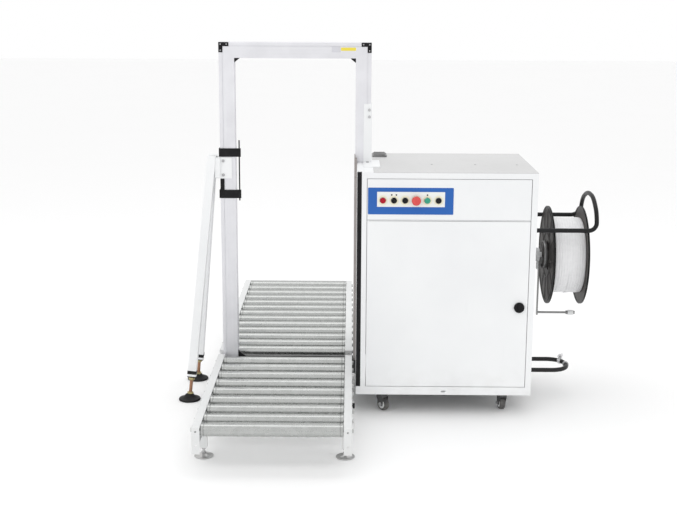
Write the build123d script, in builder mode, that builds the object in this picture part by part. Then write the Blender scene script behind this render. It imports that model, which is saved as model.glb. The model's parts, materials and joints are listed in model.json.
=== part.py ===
from build123d import *
import os
from math import cos, radians, sin, tan

# Semi-automatic side-seal strapping machine: a cabinet on casters, an aluminium strap
# arch, two low roller tables through the arch, an outrigger brace and a strap reel.
# +Z is up, the operator stands at -Y, packages travel along +Y, the reel is at +X.
# The origin is under the middle of the whole machine, on the floor.

os.makedirs("parts", exist_ok=True)

# ---- driving dimensions, millimetres ----
cabinet_width = 780.0
cabinet_depth = 650.0
cabinet_height = 1000.0        # body without its casters
caster_radius = 30.0
cabinet_lift = 2 * caster_radius + 33.0   # floor to the underside of the body
base_height = 37.0             # rail round the bottom of the body
base_rail = 40.0
sheet = 2.0                    # sheet steel of shell, door and covers
post = 20.0                    # square tube inside the shell
edge_rebate = 20.0             # front left corner, holds the black edge strip
surround_left = 42.0           # front surround, from the cabinet's sides
surround_right = 26.0
surround_top = 27.0
door_gap = 2.0
door_depth = 20.0              # folded edge of door and fascia
fascia_height = 180.0
fascia_gap = 6.0               # between fascia and door

arch_set_back = 335.0          # arch plane behind the cabinet's front
arch_width = 684.0             # over the posts
arch_height = 1630.0
profile_w = 70.0               # arch extrusion, seen from the front
arch_inset = profile_w - 8.0   # right post stands this far inside the cabinet's side
profile_d = 60.0
profile_wall = 4.0
beam_top = 164.0               # top of the bottom beam
post_seat = 58.0               # right post reaches this far below the cabinet's top

roller_radius = 25.0
roller_length = 560.0
roller_wall = 1.5
roller_pitch = 112.0
roller_top = 188.0
front_rollers = 9
rear_rollers = 13
table_gap = 182.0              # between the two tables' nearest rollers
stub_radius = 6.0              # roller axle ends
stub_head = 6.0
running_fit = 0.06             # radial clearance of every turning or sliding fit
rail_drop = 4.0                # rail top below the rollers' top
rail_height = 2 * roller_radius + 12.0
rail_flange = 32.0
rail_wall = 3.0
rail_overhang = roller_radius + 13.0      # past the outermost roller
table_side_gap = 17.0          # right rail to the cabinet's side
leg_height = 47.0              # end plate below the rail
leg_tube = 30.0
leg_lift = 40.0                # floor to the underside of a leg
foot_set_back = 175.0          # foot centre from the end of its table
foot_inset = 26.0              # foot centre from the rail's outer face
foot_radius = 39.0

brace_reach = 768.0            # foot centre left of the cabinet's side
brace_spread = 154.0           # foot centre either side of the arch plane
brace_tube = 40.0
brace_wall = 2.5
brace_top = arch_height - 511.0
brace_top_reach = 660.0
brace_top_spread = 25.0
brace_foot_radius = 50.0
brace_tube_end = 108.0         # along the leg, above the foot
stud_radius = 8.0

reel_radius = 230.0
reel_height = 645.0
guard_half = reel_radius - 25.0           # guard leg either side of the reel axis
reel_set_back = cabinet_depth - guard_half - 15.0      # reel axis behind the cabinet's front
reel_start = 118.0             # inner flange outside the cabinet's right side
reel_inside = 150.0            # between the flanges
reel_flange = 4.0
reel_core_radius = 100.0
coil_radius = 178.0
spindle_radius = 12.5
drum_radius = 62.0
drum_width = 24.0

guard_tube = 10.0              # tube radius of guard and loop
guard_reach = 306.0            # tube axis outside the cabinet's right side
guard_height = 800.0
guard_rise = 140.0
loop_height = 135.0
loop_reach = 213.0
loop_half = 87.0
loop_set_back = 332.0

lever_drop = 226.0             # pivot to roller rod
lever_pivot_height = reel_height - 55.0
caster_width = 24.0
caster_trail = 16.0
caster_inset_x = 115.0
caster_inset_y = 72.0

button_pitch = 48.0
button_first = 111.0           # reset button from the cabinet's left side
button_stem = 8.0
button_cap = 12.0
button_travel = 4.0
legend_clear = 6.6             # cap's back in front of the fascia
stop_travel = 5.0
lock_height = 498.0
lock_radius = 23.0
lock_inset = 37.0              # from the door's free edge

# ---- places worked out from them ----
front_run = table_gap / 2 + (front_rollers - 1) * roller_pitch + rail_overhang
rear_run = table_gap / 2 + (rear_rollers - 1) * roller_pitch + rail_overhang
arch_y = (front_run - rear_run) / 2
front_y = arch_y - arch_set_back
rear_y = front_y + cabinet_depth
left_x = (brace_reach + brace_foot_radius - cabinet_width - guard_reach - guard_tube) / 2
right_x = left_x + cabinet_width
base_z = cabinet_lift + base_height
top_z = cabinet_lift + cabinet_height
button_height = top_z - 121.0
door_left = left_x + surround_left
door_right = right_x - surround_right
fascia_top = top_z - surround_top
fascia_bottom = fascia_top - fascia_height
door_top = fascia_bottom - fascia_gap
post_right_x = left_x + arch_inset
post_left_x = post_right_x - arch_width
arch_in = (post_left_x + profile_w, post_right_x - profile_w)
arch_y0, arch_y1 = arch_y - profile_d / 2, arch_y + profile_d / 2
rail_out_right = left_x - table_side_gap
roller_x1 = rail_out_right - rail_flange - 2
roller_x0 = roller_x1 - roller_length
rail_out_left = roller_x0 - 2 - rail_flange
rail_top = roller_top - rail_drop
rail_bottom = rail_top - rail_height
roller_z = roller_top - roller_radius
front_roller_ys = [arch_y - table_gap / 2 - i * roller_pitch for i in range(front_rollers)]
rear_roller_ys = [arch_y + table_gap / 2 + i * roller_pitch for i in range(rear_rollers)]
reel_x = right_x + reel_start
reel_y = front_y + reel_set_back


def block(x, y, z, mode=Mode.ADD):
    """A box given by its three ranges."""
    with Locations(((x[0] + x[1]) / 2, (y[0] + y[1]) / 2, (z[0] + z[1]) / 2)):
        Box(x[1] - x[0], y[1] - y[0], z[1] - z[0], mode=mode)


def rod(axis, ends, centre, radius, mode=Mode.ADD):
    """A round bar along axis "x", "y" or "z"; centre gives the other two coordinates."""
    middle = (ends[0] + ends[1]) / 2
    place = {"x": (middle, *centre), "y": (centre[0], middle, centre[1]), "z": (*centre, middle)}
    turn = {"x": (0, 90, 0), "y": (90, 0, 0), "z": (0, 0, 0)}
    with Locations(place[axis]):
        Cylinder(radius, abs(ends[1] - ends[0]), rotation=turn[axis], mode=mode)


def save(part, label):
    part.label = label
    export_step(part, f"parts/{label}.step")


# ---- cabinet frame: base rail, corner posts, top ring, seat for the right post ----
frame_x = (left_x + sheet, right_x - sheet)
frame_y = (front_y + sheet, rear_y - sheet)
post_xs = (left_x + surround_left - post, frame_x[1] - post)
ring_z = (top_z - sheet - post, top_z - sheet)
seat_z = top_z - post_seat
seat_y = (arch_y0 - 12, arch_y1 + 12)
shelf_z = 430.0
caster_xs = (left_x + caster_inset_x, right_x - caster_inset_x)
caster_ys = (front_y + caster_inset_y, rear_y - caster_inset_y)
slot_x = left_x + cabinet_width / 2
mid_rail_y = (front_y + door_depth + sheet, front_y + door_depth + sheet + post)
hinge_x = door_left + door_gap + 4
hinge_y = front_y + 4
hinge_pin = 3.0
lug_z = (fascia_gap - 3) / 2          # hinge lug above the door's top edge

with BuildPart() as cabinet_frame:
    block((left_x, right_x), (front_y, rear_y), (cabinet_lift, base_z))
    block((left_x + base_rail, right_x - base_rail), (front_y + base_rail, rear_y - base_rail),
          (cabinet_lift, base_z), mode=Mode.SUBTRACT)
    for x in caster_xs:                                   # pads that the casters bolt to
        for y in caster_ys:
            block((x - 36, x + 36), (y - 36, y + 36), (cabinet_lift - 4, cabinet_lift))
    for x in caster_xs:
        block((x - 20, x + 20), (front_y + base_rail, rear_y - base_rail),
              (cabinet_lift, base_z - 20))
    for x in (post_xs[0], frame_x[1] - post):
        block((x, x + post), (frame_y[0], frame_y[0] + post), (base_z, top_z - sheet))
    for x in (frame_x[0], frame_x[1] - post):
        block((x, x + post), (frame_y[1] - post, frame_y[1]), (base_z, top_z - sheet))
    block((post_xs[0], frame_x[1]), (frame_y[0], frame_y[0] + post), ring_z)
    block((frame_x[0], frame_x[1]), (frame_y[1] - post, frame_y[1]), ring_z)
    block((frame_x[1] - post, frame_x[1]), frame_y, ring_z)
    block((left_x + arch_inset + 8, left_x + arch_inset + 8 + post), frame_y, ring_z)
    # horizontal rail behind the gap between fascia and door, with the door's top hinge lug
    block((post_xs[0], frame_x[1]), mid_rail_y, (door_top - 8, door_top - 8 + post))
    block((post_xs[0], frame_x[1]), (mid_rail_y[1], mid_rail_y[1] + post), (shelf_z, shelf_z + post))
    for x in (post_xs[0], frame_x[1] - post):
        block((x, x + post), (frame_y[0] + post, mid_rail_y[1]), (door_top - 8, door_top - 8 + post))
        block((x, x + post), (frame_y[0] + post, frame_y[1]), (shelf_z, shelf_z + post))
    block((post_xs[0], frame_x[1]), (frame_y[1] - post, frame_y[1]), (shelf_z, shelf_z + post))
    block((door_left + door_gap, hinge_x + 8), (front_y + 1, mid_rail_y[0]),
          (door_top + lug_z, door_top + lug_z + 3))
    block((hinge_x + 8, door_right - door_gap), (front_y + 3, mid_rail_y[0]),
          (door_top + lug_z, door_top + lug_z + 3))         # strip that closes the gap below the fascia
    # shelf for the sealing head
    block((post_xs[0] + post, left_x + 400), (front_y + 230, front_y + 440),
          (shelf_z + post - 4, shelf_z + post))
    for y in (front_y + 230, front_y + 430):
        block((post_xs[0], left_x + 400), (y, y + 10), (shelf_z, shelf_z + post))
    # seat under the right post, hung from the top ring
    block((left_x + sheet + 1, left_x + arch_inset + 8 + post), seat_y, (seat_z - 8, seat_z))
    for y in (seat_y[0], seat_y[1] - 8):
        block((left_x + arch_inset + 8, left_x + arch_inset + 8 + post), (y, y + 8), (seat_z, ring_z[0]))
    rod("z", (base_z - 12, base_z), (hinge_x, hinge_y), hinge_pin + running_fit, mode=Mode.SUBTRACT)
    rod("z", (door_top, door_top + fascia_gap), (hinge_x, hinge_y), hinge_pin + running_fit,
        mode=Mode.SUBTRACT)
    with BuildSketch(Plane.XZ.offset(-front_y)):          # small oval port in the base rail
        with Locations((slot_x, cabinet_lift + 16)):
            SlotOverall(22, 9)
    extrude(amount=-12, mode=Mode.SUBTRACT)
save(cabinet_frame.part, "cabinet_frame")

# ---- cabinet shell: wrapped side and rear walls, front surround, top left strip ----
strip_right = left_x + arch_inset + 8
window_y = (arch_y0 - 30, arch_y1 + 30)
with BuildPart() as cabinet_shell:
    with BuildSketch(Plane.XY.offset(base_z)):
        with BuildLine():
            Polyline((left_x + edge_rebate, front_y), (right_x, front_y), (right_x, rear_y), (left_x, rear_y),
                     (left_x, front_y + edge_rebate),
                     (left_x + edge_rebate, front_y + edge_rebate), close=True)
        make_face()
    extrude(amount=top_z - base_z)
    fillet(cabinet_shell.edges().filter_by(Axis.Z).group_by(Axis.X)[-1], 2)
    with BuildSketch(Plane.XY.offset(base_z)):
        with BuildLine():
            Polyline((left_x + edge_rebate + sheet, front_y + sheet), (right_x - sheet, front_y + sheet),
                     (right_x - sheet, rear_y - sheet), (left_x + sheet, rear_y - sheet),
                     (left_x + sheet, front_y + edge_rebate + sheet),
                     (left_x + edge_rebate + sheet, front_y + edge_rebate + sheet), close=True)
        make_face()
    extrude(amount=top_z - base_z - sheet, mode=Mode.SUBTRACT)
    block((strip_right, right_x), (front_y, rear_y), (top_z - sheet, top_z), mode=Mode.SUBTRACT)
    block((door_left, door_right), (front_y - 1, front_y + sheet), (base_z, fascia_top), mode=Mode.SUBTRACT)
    block((left_x - 1, left_x + sheet), window_y, (base_z + 40, top_z), mode=Mode.SUBTRACT)
    block((left_x - 1, post_right_x + 1), (arch_y0 - 1, arch_y1 + 1), (top_z - sheet, top_z),
          mode=Mode.SUBTRACT)
    with BuildSketch(Plane.XZ.offset(-rear_y)):           # louvre slots in the rear wall
        for z in (base_z + 170, top_z - 233):
            with Locations((left_x + cabinet_width / 2, z)):
                with GridLocations(130, 16, 3, 8):
                    SlotOverall(100, 6)
    extrude(amount=sheet + 1, mode=Mode.SUBTRACT)
    with BuildSketch(Plane.XZ.offset(-rear_y)):
        with Locations((right_x - 150, base_z + 60)):
            Circle(10.2)
    extrude(amount=sheet + 1, mode=Mode.SUBTRACT)
save(cabinet_shell.part, "cabinet_shell")

# ---- top cover ----
screw_xs = [left_x + cabinet_width * share for share in (0.43, 0.68, 0.92)]
with BuildPart() as top_cover:
    block((strip_right + 0.5, right_x), (front_y, rear_y), (top_z - sheet, top_z))
    with Locations(*[(x, front_y + 256, top_z) for x in screw_xs]):
        Hole(2.5, sheet)
    fillet(top_cover.edges().filter_by(Axis.Z).sort_by(Axis.X)[-2:], 2)
save(top_cover.part, "top_cover")


def folded_panel(x, z, depth):
    """A sheet panel at the cabinet's front with its four edges folded inwards."""
    block(x, (front_y, front_y + depth), z)
    block((x[0] + sheet, x[1] - sheet), (front_y + sheet, front_y + depth),
          (z[0] + sheet, z[1] - sheet), mode=Mode.SUBTRACT)


# ---- control fascia, with a hole for each button stem ----
panel_round = 1.5
button_xs = [left_x + button_first + i * button_pitch for i in range(6)]
with BuildPart() as control_fascia:
    folded_panel((door_left + door_gap, door_right - door_gap),
                 (fascia_bottom, fascia_top - door_gap), door_depth)
    fillet(control_fascia.edges().group_by(Axis.Y)[0], panel_round)
    for x in button_xs:
        rod("y", (front_y + sheet, front_y + door_depth - 8), (x, button_height), button_stem + 3)
        rod("y", (front_y, front_y + door_depth), (x, button_height), button_stem + running_fit,
            mode=Mode.SUBTRACT)
save(control_fascia.part, "control_fascia")

# ---- front door on two hinge pins, and its lock ----
lock_x = door_right - door_gap - lock_inset
with BuildPart() as front_door:
    folded_panel((door_left + door_gap, door_right - door_gap), (base_z + door_gap, door_top), door_depth)
    fillet(front_door.edges().group_by(Axis.Y)[0], panel_round)
    for z in (base_z + door_gap, door_top - 12):
        block((door_left + door_gap + sheet, hinge_x + 8), (front_y + sheet, front_y + door_depth),
              (z, z + 12))
    rod("z", (base_z - 10, base_z + door_gap), (hinge_x, hinge_y), hinge_pin)
    rod("z", (door_top, door_top + lug_z + 3), (hinge_x, hinge_y), hinge_pin)
    rod("y", (front_y + sheet, front_y + 10), (lock_x, lock_height), 12)
    rod("y", (front_y - 1, front_y + door_depth), (lock_x, lock_height), 8 + running_fit, mode=Mode.SUBTRACT)
    block((door_left + 120, door_right - 120), (front_y + sheet, front_y + 12), (480, 500))   # stiffener
save(front_door.part, "front_door")

with BuildPart() as door_lock:
    rod("y", (front_y - 10, front_y - 0.4), (lock_x, lock_height), lock_radius)
    fillet(door_lock.edges().filter_by(GeomType.CIRCLE).sort_by(Axis.Y)[0], 3)
    block((lock_x - 4, lock_x + 4), (front_y - 15, front_y - 10), (lock_height - 17, lock_height + 17))
    rod("y", (front_y - 1, front_y + door_depth + 3), (lock_x, lock_height), 8)
    block((lock_x - 9, lock_x + 9), (front_y + door_depth + 2.4, front_y + door_depth + 5.4),
          (lock_height - 12, lock_height + 52))
save(door_lock.part, "door_lock")


# ---- buttons ----
def push_button(x):
    """A cap with a slightly dished face on a stem through the fascia."""
    back = front_y - legend_clear
    rod("y", (back - 6, back), (x, button_height), button_cap)
    rod("y", (back, front_y + door_depth + 4), (x, button_height), button_stem)
    with Locations((x, back - 6 - 38.6, button_height)):
        Sphere(40, mode=Mode.SUBTRACT)


for label, index in (("reset_button", 0), ("reverse_button", 2), ("start_button", 4), ("feed_button", 5)):
    with BuildPart() as button:
        push_button(button_xs[index])
    save(button.part, label)

with BuildPart() as mode_selector:
    back = front_y - legend_clear + button_travel
    rod("y", (back - 9, back), (button_xs[1], button_height), button_cap)
    rod("y", (back, front_y + door_depth + 4), (button_xs[1], button_height), button_stem)
    with BuildSketch(Plane.XZ.offset(-(back - 9))):
        with Locations((button_xs[1], button_height)):
            SlotOverall(22, 7, rotation=135)
    extrude(amount=8)
save(mode_selector.part, "mode_selector")

stop_z = button_height - 3
with BuildPart() as emergency_stop:
    back = front_y - stop_travel - 9
    rod("y", (back - 13, back), (button_xs[3], button_height), 20)
    fillet(emergency_stop.edges().filter_by(GeomType.CIRCLE).sort_by(Axis.Y)[0], 8)
    rod("y", (back, front_y + door_depth + 4), (button_xs[3], button_height), button_stem)
save(emergency_stop.part, "emergency_stop")

# ---- head plate: the folded cover down the cabinet's left side, facing the packages ----
plate_y = (window_y[0] - 8, window_y[1] + 8)
plate_z = (beam_top + 6, top_z + 28)
plate_out = 12.0
head_window = (560.0, 800.0)
with BuildPart() as head_plate:
    block((left_x - plate_out, left_x), plate_y, plate_z)
    block((left_x - plate_out + 3, left_x), (plate_y[0] + 3, plate_y[1] - 3), plate_z, mode=Mode.SUBTRACT)
    block((left_x - plate_out - 1, left_x), (arch_y - 18, arch_y + 18), head_window, mode=Mode.SUBTRACT)
    # strap slot above and below the head's window
    block((left_x - plate_out - 1, left_x), (arch_y - 4, arch_y + 4), (plate_z[0] + 20, plate_z[1] - 60),
          mode=Mode.SUBTRACT)
    fillet(head_plate.edges().filter_by(Axis.Z).group_by(Axis.X)[0].sort_by(Axis.Y)[0], 2.5)
    fillet(head_plate.edges().filter_by(Axis.Z).group_by(Axis.X)[0].sort_by(Axis.Y)[-1], 2.5)
save(head_plate.part, "head_plate")


# ---- arch: extrusions with a stepped outer edge and a strap track on the inner face ----
def arch_profile(outer_sign):
    """Hollow section drawn with its outer face towards outer_sign along local X."""
    edge_line = outer_sign * (profile_w / 2 - 17)
    RectangleRounded(profile_w, profile_d, 1.5)
    Rectangle(profile_w - 2 * profile_wall - 20, profile_d - 2 * profile_wall, mode=Mode.SUBTRACT)
    with Locations((edge_line, profile_d / 2), (edge_line, -profile_d / 2)):
        Rectangle(3, 6, mode=Mode.SUBTRACT)
    with Locations((-outer_sign * profile_w / 2, 0)):                 # strap track
        Rectangle(14, 16, mode=Mode.SUBTRACT)
    with Locations((outer_sign * profile_w / 2, 0)):                  # T-slot on the outer face
        Rectangle(5, 8, mode=Mode.SUBTRACT)
    with Locations((outer_sign * (profile_w / 2 - 5), 0)):
        Rectangle(5, 16, mode=Mode.SUBTRACT)


def mitre(corner, sign):
    """Cuts everything outside the 45 degree line through an outer arch corner."""
    reach = profile_w + 1
    with BuildSketch(Plane.XZ.offset(-(arch_y1 + 1))) as waste:
        with BuildLine():
            Polyline(corner, (corner[0] + sign * reach, corner[1] - reach),
                     (corner[0] + sign * reach, corner[1] + 1), (corner[0], corner[1] + 1), close=True)
        make_face()
    extrude(waste.sketch, amount=profile_d + 2, mode=Mode.SUBTRACT)


posts = (("arch_left_post", post_left_x + profile_w / 2, -1, beam_top - profile_w, post_left_x),
         ("arch_right_post", post_right_x - profile_w / 2, 1, seat_z, post_right_x))
for label, x, sign, bottom, outer in posts:
    with BuildPart() as arch_post:
        with BuildSketch(Plane(origin=(x, arch_y, bottom))):
            arch_profile(sign)
        extrude(amount=arch_height - bottom)
        mitre((outer, arch_height), -sign)
    save(arch_post.part, label)

with BuildPart() as arch_top_beam:
    beam_plane = Plane(origin=(post_left_x, arch_y, arch_height - profile_w / 2), x_dir=(0, 0, 1),
                       z_dir=(1, 0, 0))
    with BuildSketch(beam_plane):
        arch_profile(1)
    extrude(amount=arch_width)
    for corner, sign in (((post_left_x, arch_height), 1), ((post_right_x, arch_height), -1)):
        with BuildSketch(Plane.XZ.offset(-(arch_y1 + 1))):
            with BuildLine():
                Polyline(corner, (corner[0] + sign * (profile_w + 1), corner[1] - profile_w - 1),
                         (corner[0] - sign, corner[1] - profile_w - 1), (corner[0] - sign, corner[1]),
                         close=True)
            make_face()
        extrude(amount=profile_d + 2, mode=Mode.SUBTRACT)
save(arch_top_beam.part, "arch_top_beam")

with BuildPart() as arch_bottom_beam:
    beam_plane = Plane(origin=(arch_in[0], arch_y, beam_top - profile_w / 2), x_dir=(0, 0, 1),
                       z_dir=(1, 0, 0))
    with BuildSketch(beam_plane):
        arch_profile(-1)
    extrude(amount=left_x - 4 - arch_in[0])
    block((left_x - 4, left_x), (arch_y0 - 20, arch_y1 + 20), (cabinet_lift + 2, beam_top))
save(arch_bottom_beam.part, "arch_bottom_beam")

# ---- black brackets on the arch: corner plates, gussets, clamp bands and the guide rod ----
band_zs = ((arch_height - 513, arch_height - 475), (arch_height - 703, arch_height - 665))
band_reach = 24.0
guide_rod_z = (arch_height - 714, arch_height - 438)
plate_arm = 45.0
plate_width = 18.0
gusset_leg = 25.0
band_t = 5.0
rod_x = arch_in[0] + band_reach - 7
with BuildPart() as arch_brackets:
    for x, sign in ((post_left_x, 1), (post_right_x, -1)):
        for y in ((arch_y0 - 3, arch_y0), (arch_y1, arch_y1 + 3)):
            ends = sorted((x, x + sign * plate_arm))
            side = sorted((x, x + sign * plate_width))
            block(ends, y, (arch_height - plate_width, arch_height))
            block(side, y, (arch_height - plate_arm, arch_height))
    for corner, sx, sz, leg in (((arch_in[0], arch_height - profile_w), 1, -1, gusset_leg),
                                ((arch_in[1], arch_height - profile_w), -1, -1, gusset_leg),
                                ((arch_in[0], beam_top), 1, 1, gusset_leg + 20)):
        with BuildSketch(Plane.XZ.offset(-(arch_y - 10))):
            with BuildLine():
                Polyline(corner, (corner[0] + sx * leg, corner[1]),
                         (corner[0], corner[1] + sz * leg * 0.8), close=True)
            make_face()
        extrude(amount=16)
    for z in band_zs:
        outer = (post_left_x - band_t, arch_in[0] + band_reach)
        block(outer, (arch_y0 - band_t, arch_y1 + band_t), z)
        block((post_left_x, arch_in[0]), (arch_y0, arch_y1), z, mode=Mode.SUBTRACT)
        block((arch_in[0], outer[1]), (arch_y0 + 8, arch_y1 + band_t), z, mode=Mode.SUBTRACT)
    block((post_left_x, post_left_x + 18), (arch_y0 - band_t, arch_y0), (band_zs[1][1], brace_top - 103))
    rod("z", guide_rod_z, (rod_x, arch_y0 + 2), 3)
save(arch_brackets.part, "arch_brackets")

# ---- mast bracket: white angle from the right post down to the cabinet's top ----
mast_z = (top_z, arch_height - 270)
with BuildPart() as mast_bracket:
    block((post_right_x - 33, post_right_x + 4), (arch_y0 - 4, arch_y0), mast_z)
    block((post_right_x, post_right_x + 4), (arch_y0, arch_y1), mast_z)
    block((post_right_x - 33, post_right_x + 40), (front_y + 150, arch_y0 - 4), (top_z, top_z + 4))
    block((post_right_x + 4, post_right_x + 40), (arch_y0 - 4, arch_y1), (top_z, top_z + 4))
    fillet(mast_bracket.edges().filter_by(Axis.Y).group_by(Axis.Z)[-1], 1.5)
save(mast_bracket.part, "mast_bracket")

# ---- outrigger brace: two square legs, a saddle on the left post and a front plate ----
brace_x = left_x - brace_reach
apex_x = left_x - brace_top_reach


def leg_frame(side):
    """Foot point, unit direction and length of a brace leg; side is -1 front, 1 rear."""
    foot = Vector(brace_x, arch_y + side * brace_spread, 0)
    apex = Vector(apex_x, arch_y + side * brace_top_spread, brace_top)
    return foot, (apex - foot).normalized(), (apex - foot).length


saddle_x = (apex_x + brace_tube / 2 - 6, post_left_x)
with BuildPart() as arch_brace:
    for side in (-1, 1):
        foot, direction, length = leg_frame(side)
        leg_plane = Plane(origin=foot + direction * brace_tube_end, x_dir=(0, 1, 0), z_dir=direction)
        with BuildSketch(leg_plane):
            RectangleRounded(brace_tube, brace_tube, 4)
        extrude(amount=length - brace_tube_end)
    block(saddle_x, (arch_y - brace_top_spread - 18, arch_y + brace_top_spread + 18),
          (brace_top - 97, brace_top - 7))
    for side in (-1, 1):
        foot, direction, length = leg_frame(side)
        leg_plane = Plane(origin=foot + direction * (brace_tube_end + 8), x_dir=(0, 1, 0), z_dir=direction)
        with BuildSketch(leg_plane):
            RectangleRounded(brace_tube - 2 * brace_wall, brace_tube - 2 * brace_wall, 2)
        extrude(amount=length - brace_tube_end - 16, mode=Mode.SUBTRACT)
    block((saddle_x[0] + 2, post_left_x + 53), (arch_y0 - 4, arch_y0), (brace_top - 101, brace_top - 5))
    rod("y", (arch_y0 - 6, arch_y0), (post_left_x + 14, brace_top - 21), 4, mode=Mode.SUBTRACT)
    rod("y", (arch_y0 - 6, arch_y0), (post_left_x + 14, brace_top - 85), 4, mode=Mode.SUBTRACT)
save(arch_brace.part, "arch_brace")


# ---- roller tables ----
def table_frame(y0, y1, roller_ys, cross_ys, leg_signs):
    """Two C rails with the open side inwards, cross members, end plates and four legs."""
    rails = ((rail_out_left, 1), (rail_out_right, -1))
    for x, sign in rails:
        inner = x + sign * rail_flange
        block(sorted((x, inner)), (y0, y1), (rail_bottom, rail_top))
        block(sorted((x + sign * rail_wall, inner)), (y0, y1),
              (rail_bottom + rail_wall, rail_top - rail_wall), mode=Mode.SUBTRACT)
    for y in cross_ys:
        block((rail_out_left + rail_wall, rail_out_right - rail_wall), (y - 10, y + 10),
              (rail_bottom + rail_wall, rail_bottom + rail_wall + 7))
    for y, sign in leg_signs:
        for x, side in rails:
            inner = x + side * rail_flange
            block(sorted((x, inner)), sorted((y, y + sign * rail_wall)),
                  (rail_bottom - leg_height, rail_top))
            foot = (x + side * foot_inset, y + sign * foot_set_back)
            for half, z, mode in ((leg_tube / 2, (leg_lift, rail_bottom + rail_wall), Mode.ADD),
                                  (leg_tube / 2 - 2.5, (leg_lift + 5, rail_bottom), Mode.SUBTRACT)):
                block((foot[0] - half, foot[0] + half), (foot[1] - half, foot[1] + half), z, mode=mode)
            rod("z", (leg_lift, leg_lift + 5), foot, 6, mode=Mode.SUBTRACT)
            for z in (rail_top - 16, rail_bottom - 12):
                rod("y", (y - rail_wall, y + rail_wall), (x + side * rail_flange / 2, z), 4,
                    mode=Mode.SUBTRACT)
    for y in roller_ys:
        rod("x", (rail_out_left - 1, rail_out_left + rail_wall), (y, roller_z), stub_radius + running_fit,
            mode=Mode.SUBTRACT)
        rod("x", (rail_out_right - rail_wall, rail_out_right + 1), (y, roller_z), stub_radius + running_fit,
            mode=Mode.SUBTRACT)


front_end, front_back = arch_y - front_run, arch_y0 - 6
rear_front, rear_end = arch_y1 + 6, arch_y + rear_run
foot_rows = ((front_end, 1), (front_back, -1), (rear_front, 1), (rear_end, -1))

with BuildPart() as front_table_frame:
    table_frame(front_end, front_back, front_roller_ys,
                (front_end + foot_set_back, front_end + 520, front_back - foot_set_back, front_back - 60),
                foot_rows[:2])
save(front_table_frame.part, "front_table_frame")

with BuildPart() as rear_table_frame:
    table_frame(rear_front, rear_end, rear_roller_ys,
                (rear_front + 60, rear_front + foot_set_back, rear_front + 520, rear_front + 960,
                 rear_end - foot_set_back), foot_rows[2:])
    block((rail_out_left + rail_wall, rail_out_right - rail_wall), (rear_end - 10, rear_end - rail_wall),
          (rail_bottom + 20, rail_top))
save(rear_table_frame.part, "rear_table_frame")


def make_roller(y, label):
    """Closed tube with end caps and axle ends that turn in the rails."""
    with BuildPart() as roller:
        rod("x", (roller_x0, roller_x1), (y, roller_z), roller_radius)
        chamfer(roller.edges().filter_by(GeomType.CIRCLE), 1.2)
        rod("x", (roller_x0 + 6, roller_x1 - 6), (y, roller_z), roller_radius - roller_wall,
            mode=Mode.SUBTRACT)
        rod("x", (rail_out_left - 0.5, roller_x0), (y, roller_z), stub_radius)
        rod("x", (roller_x1, rail_out_right + 0.5), (y, roller_z), stub_radius)
        rod("x", (rail_out_left - 0.5 - stub_head, rail_out_left - 0.5), (y, roller_z), stub_radius + 3)
        rod("x", (rail_out_right + 0.5, rail_out_right + 0.5 + stub_head), (y, roller_z), stub_radius + 3)
    save(roller.part, label)


for i, y in enumerate(front_roller_ys):
    make_roller(y, f"front_roller_{i + 1}")
for i, y in enumerate(rear_roller_ys):
    make_roller(y, f"rear_roller_{i + 1}")

# ---- levelling feet: two under the brace, eight under the tables, one under the post ----
with BuildPart() as levelling_feet:
    for side in (-1, 1):
        foot, direction, length = leg_frame(side)
        with Locations(foot):
            Cone(brace_foot_radius, 20, 16, align=(Align.CENTER, Align.CENTER, Align.MIN))
            Sphere(12, arc_size1=0, align=(Align.CENTER, Align.CENTER, Align.MIN))
        stud_plane = Plane(origin=foot + direction * 16, x_dir=(0, 1, 0), z_dir=direction)
        with BuildSketch(stud_plane):
            Circle(stud_radius)
        extrude(amount=brace_tube_end - 16)
        nut_plane = Plane(origin=foot + direction * (brace_tube_end - 14), x_dir=(0, 1, 0), z_dir=direction)
        with BuildSketch(nut_plane):
            RegularPolygon(14, 6)
        extrude(amount=14)
    for y, sign in foot_rows:
        for x, side in ((rail_out_left, 1), (rail_out_right, -1)):
            centre = (x + side * foot_inset, y + sign * foot_set_back)
            with Locations((*centre, 0)):
                Cone(foot_radius, 12, 9, align=(Align.CENTER, Align.CENTER, Align.MIN))
            rod("z", (8, leg_lift + 22), centre, 5.9)
            with BuildSketch(Plane.XY.offset(leg_lift - 9)):
                with Locations(centre):
                    RegularPolygon(10, 6)
            extrude(amount=9)
    with Locations((post_left_x + profile_w / 2, arch_y, 0)):
        Cone(28, 12, 9, align=(Align.CENTER, Align.CENTER, Align.MIN))
    rod("z", (8, beam_top - profile_w), (post_left_x + profile_w / 2, arch_y), 8)
    rod("z", (beam_top - profile_w - 6, beam_top - profile_w), (post_left_x + profile_w / 2, arch_y), 24)
save(levelling_feet.part, "levelling_feet")


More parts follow.
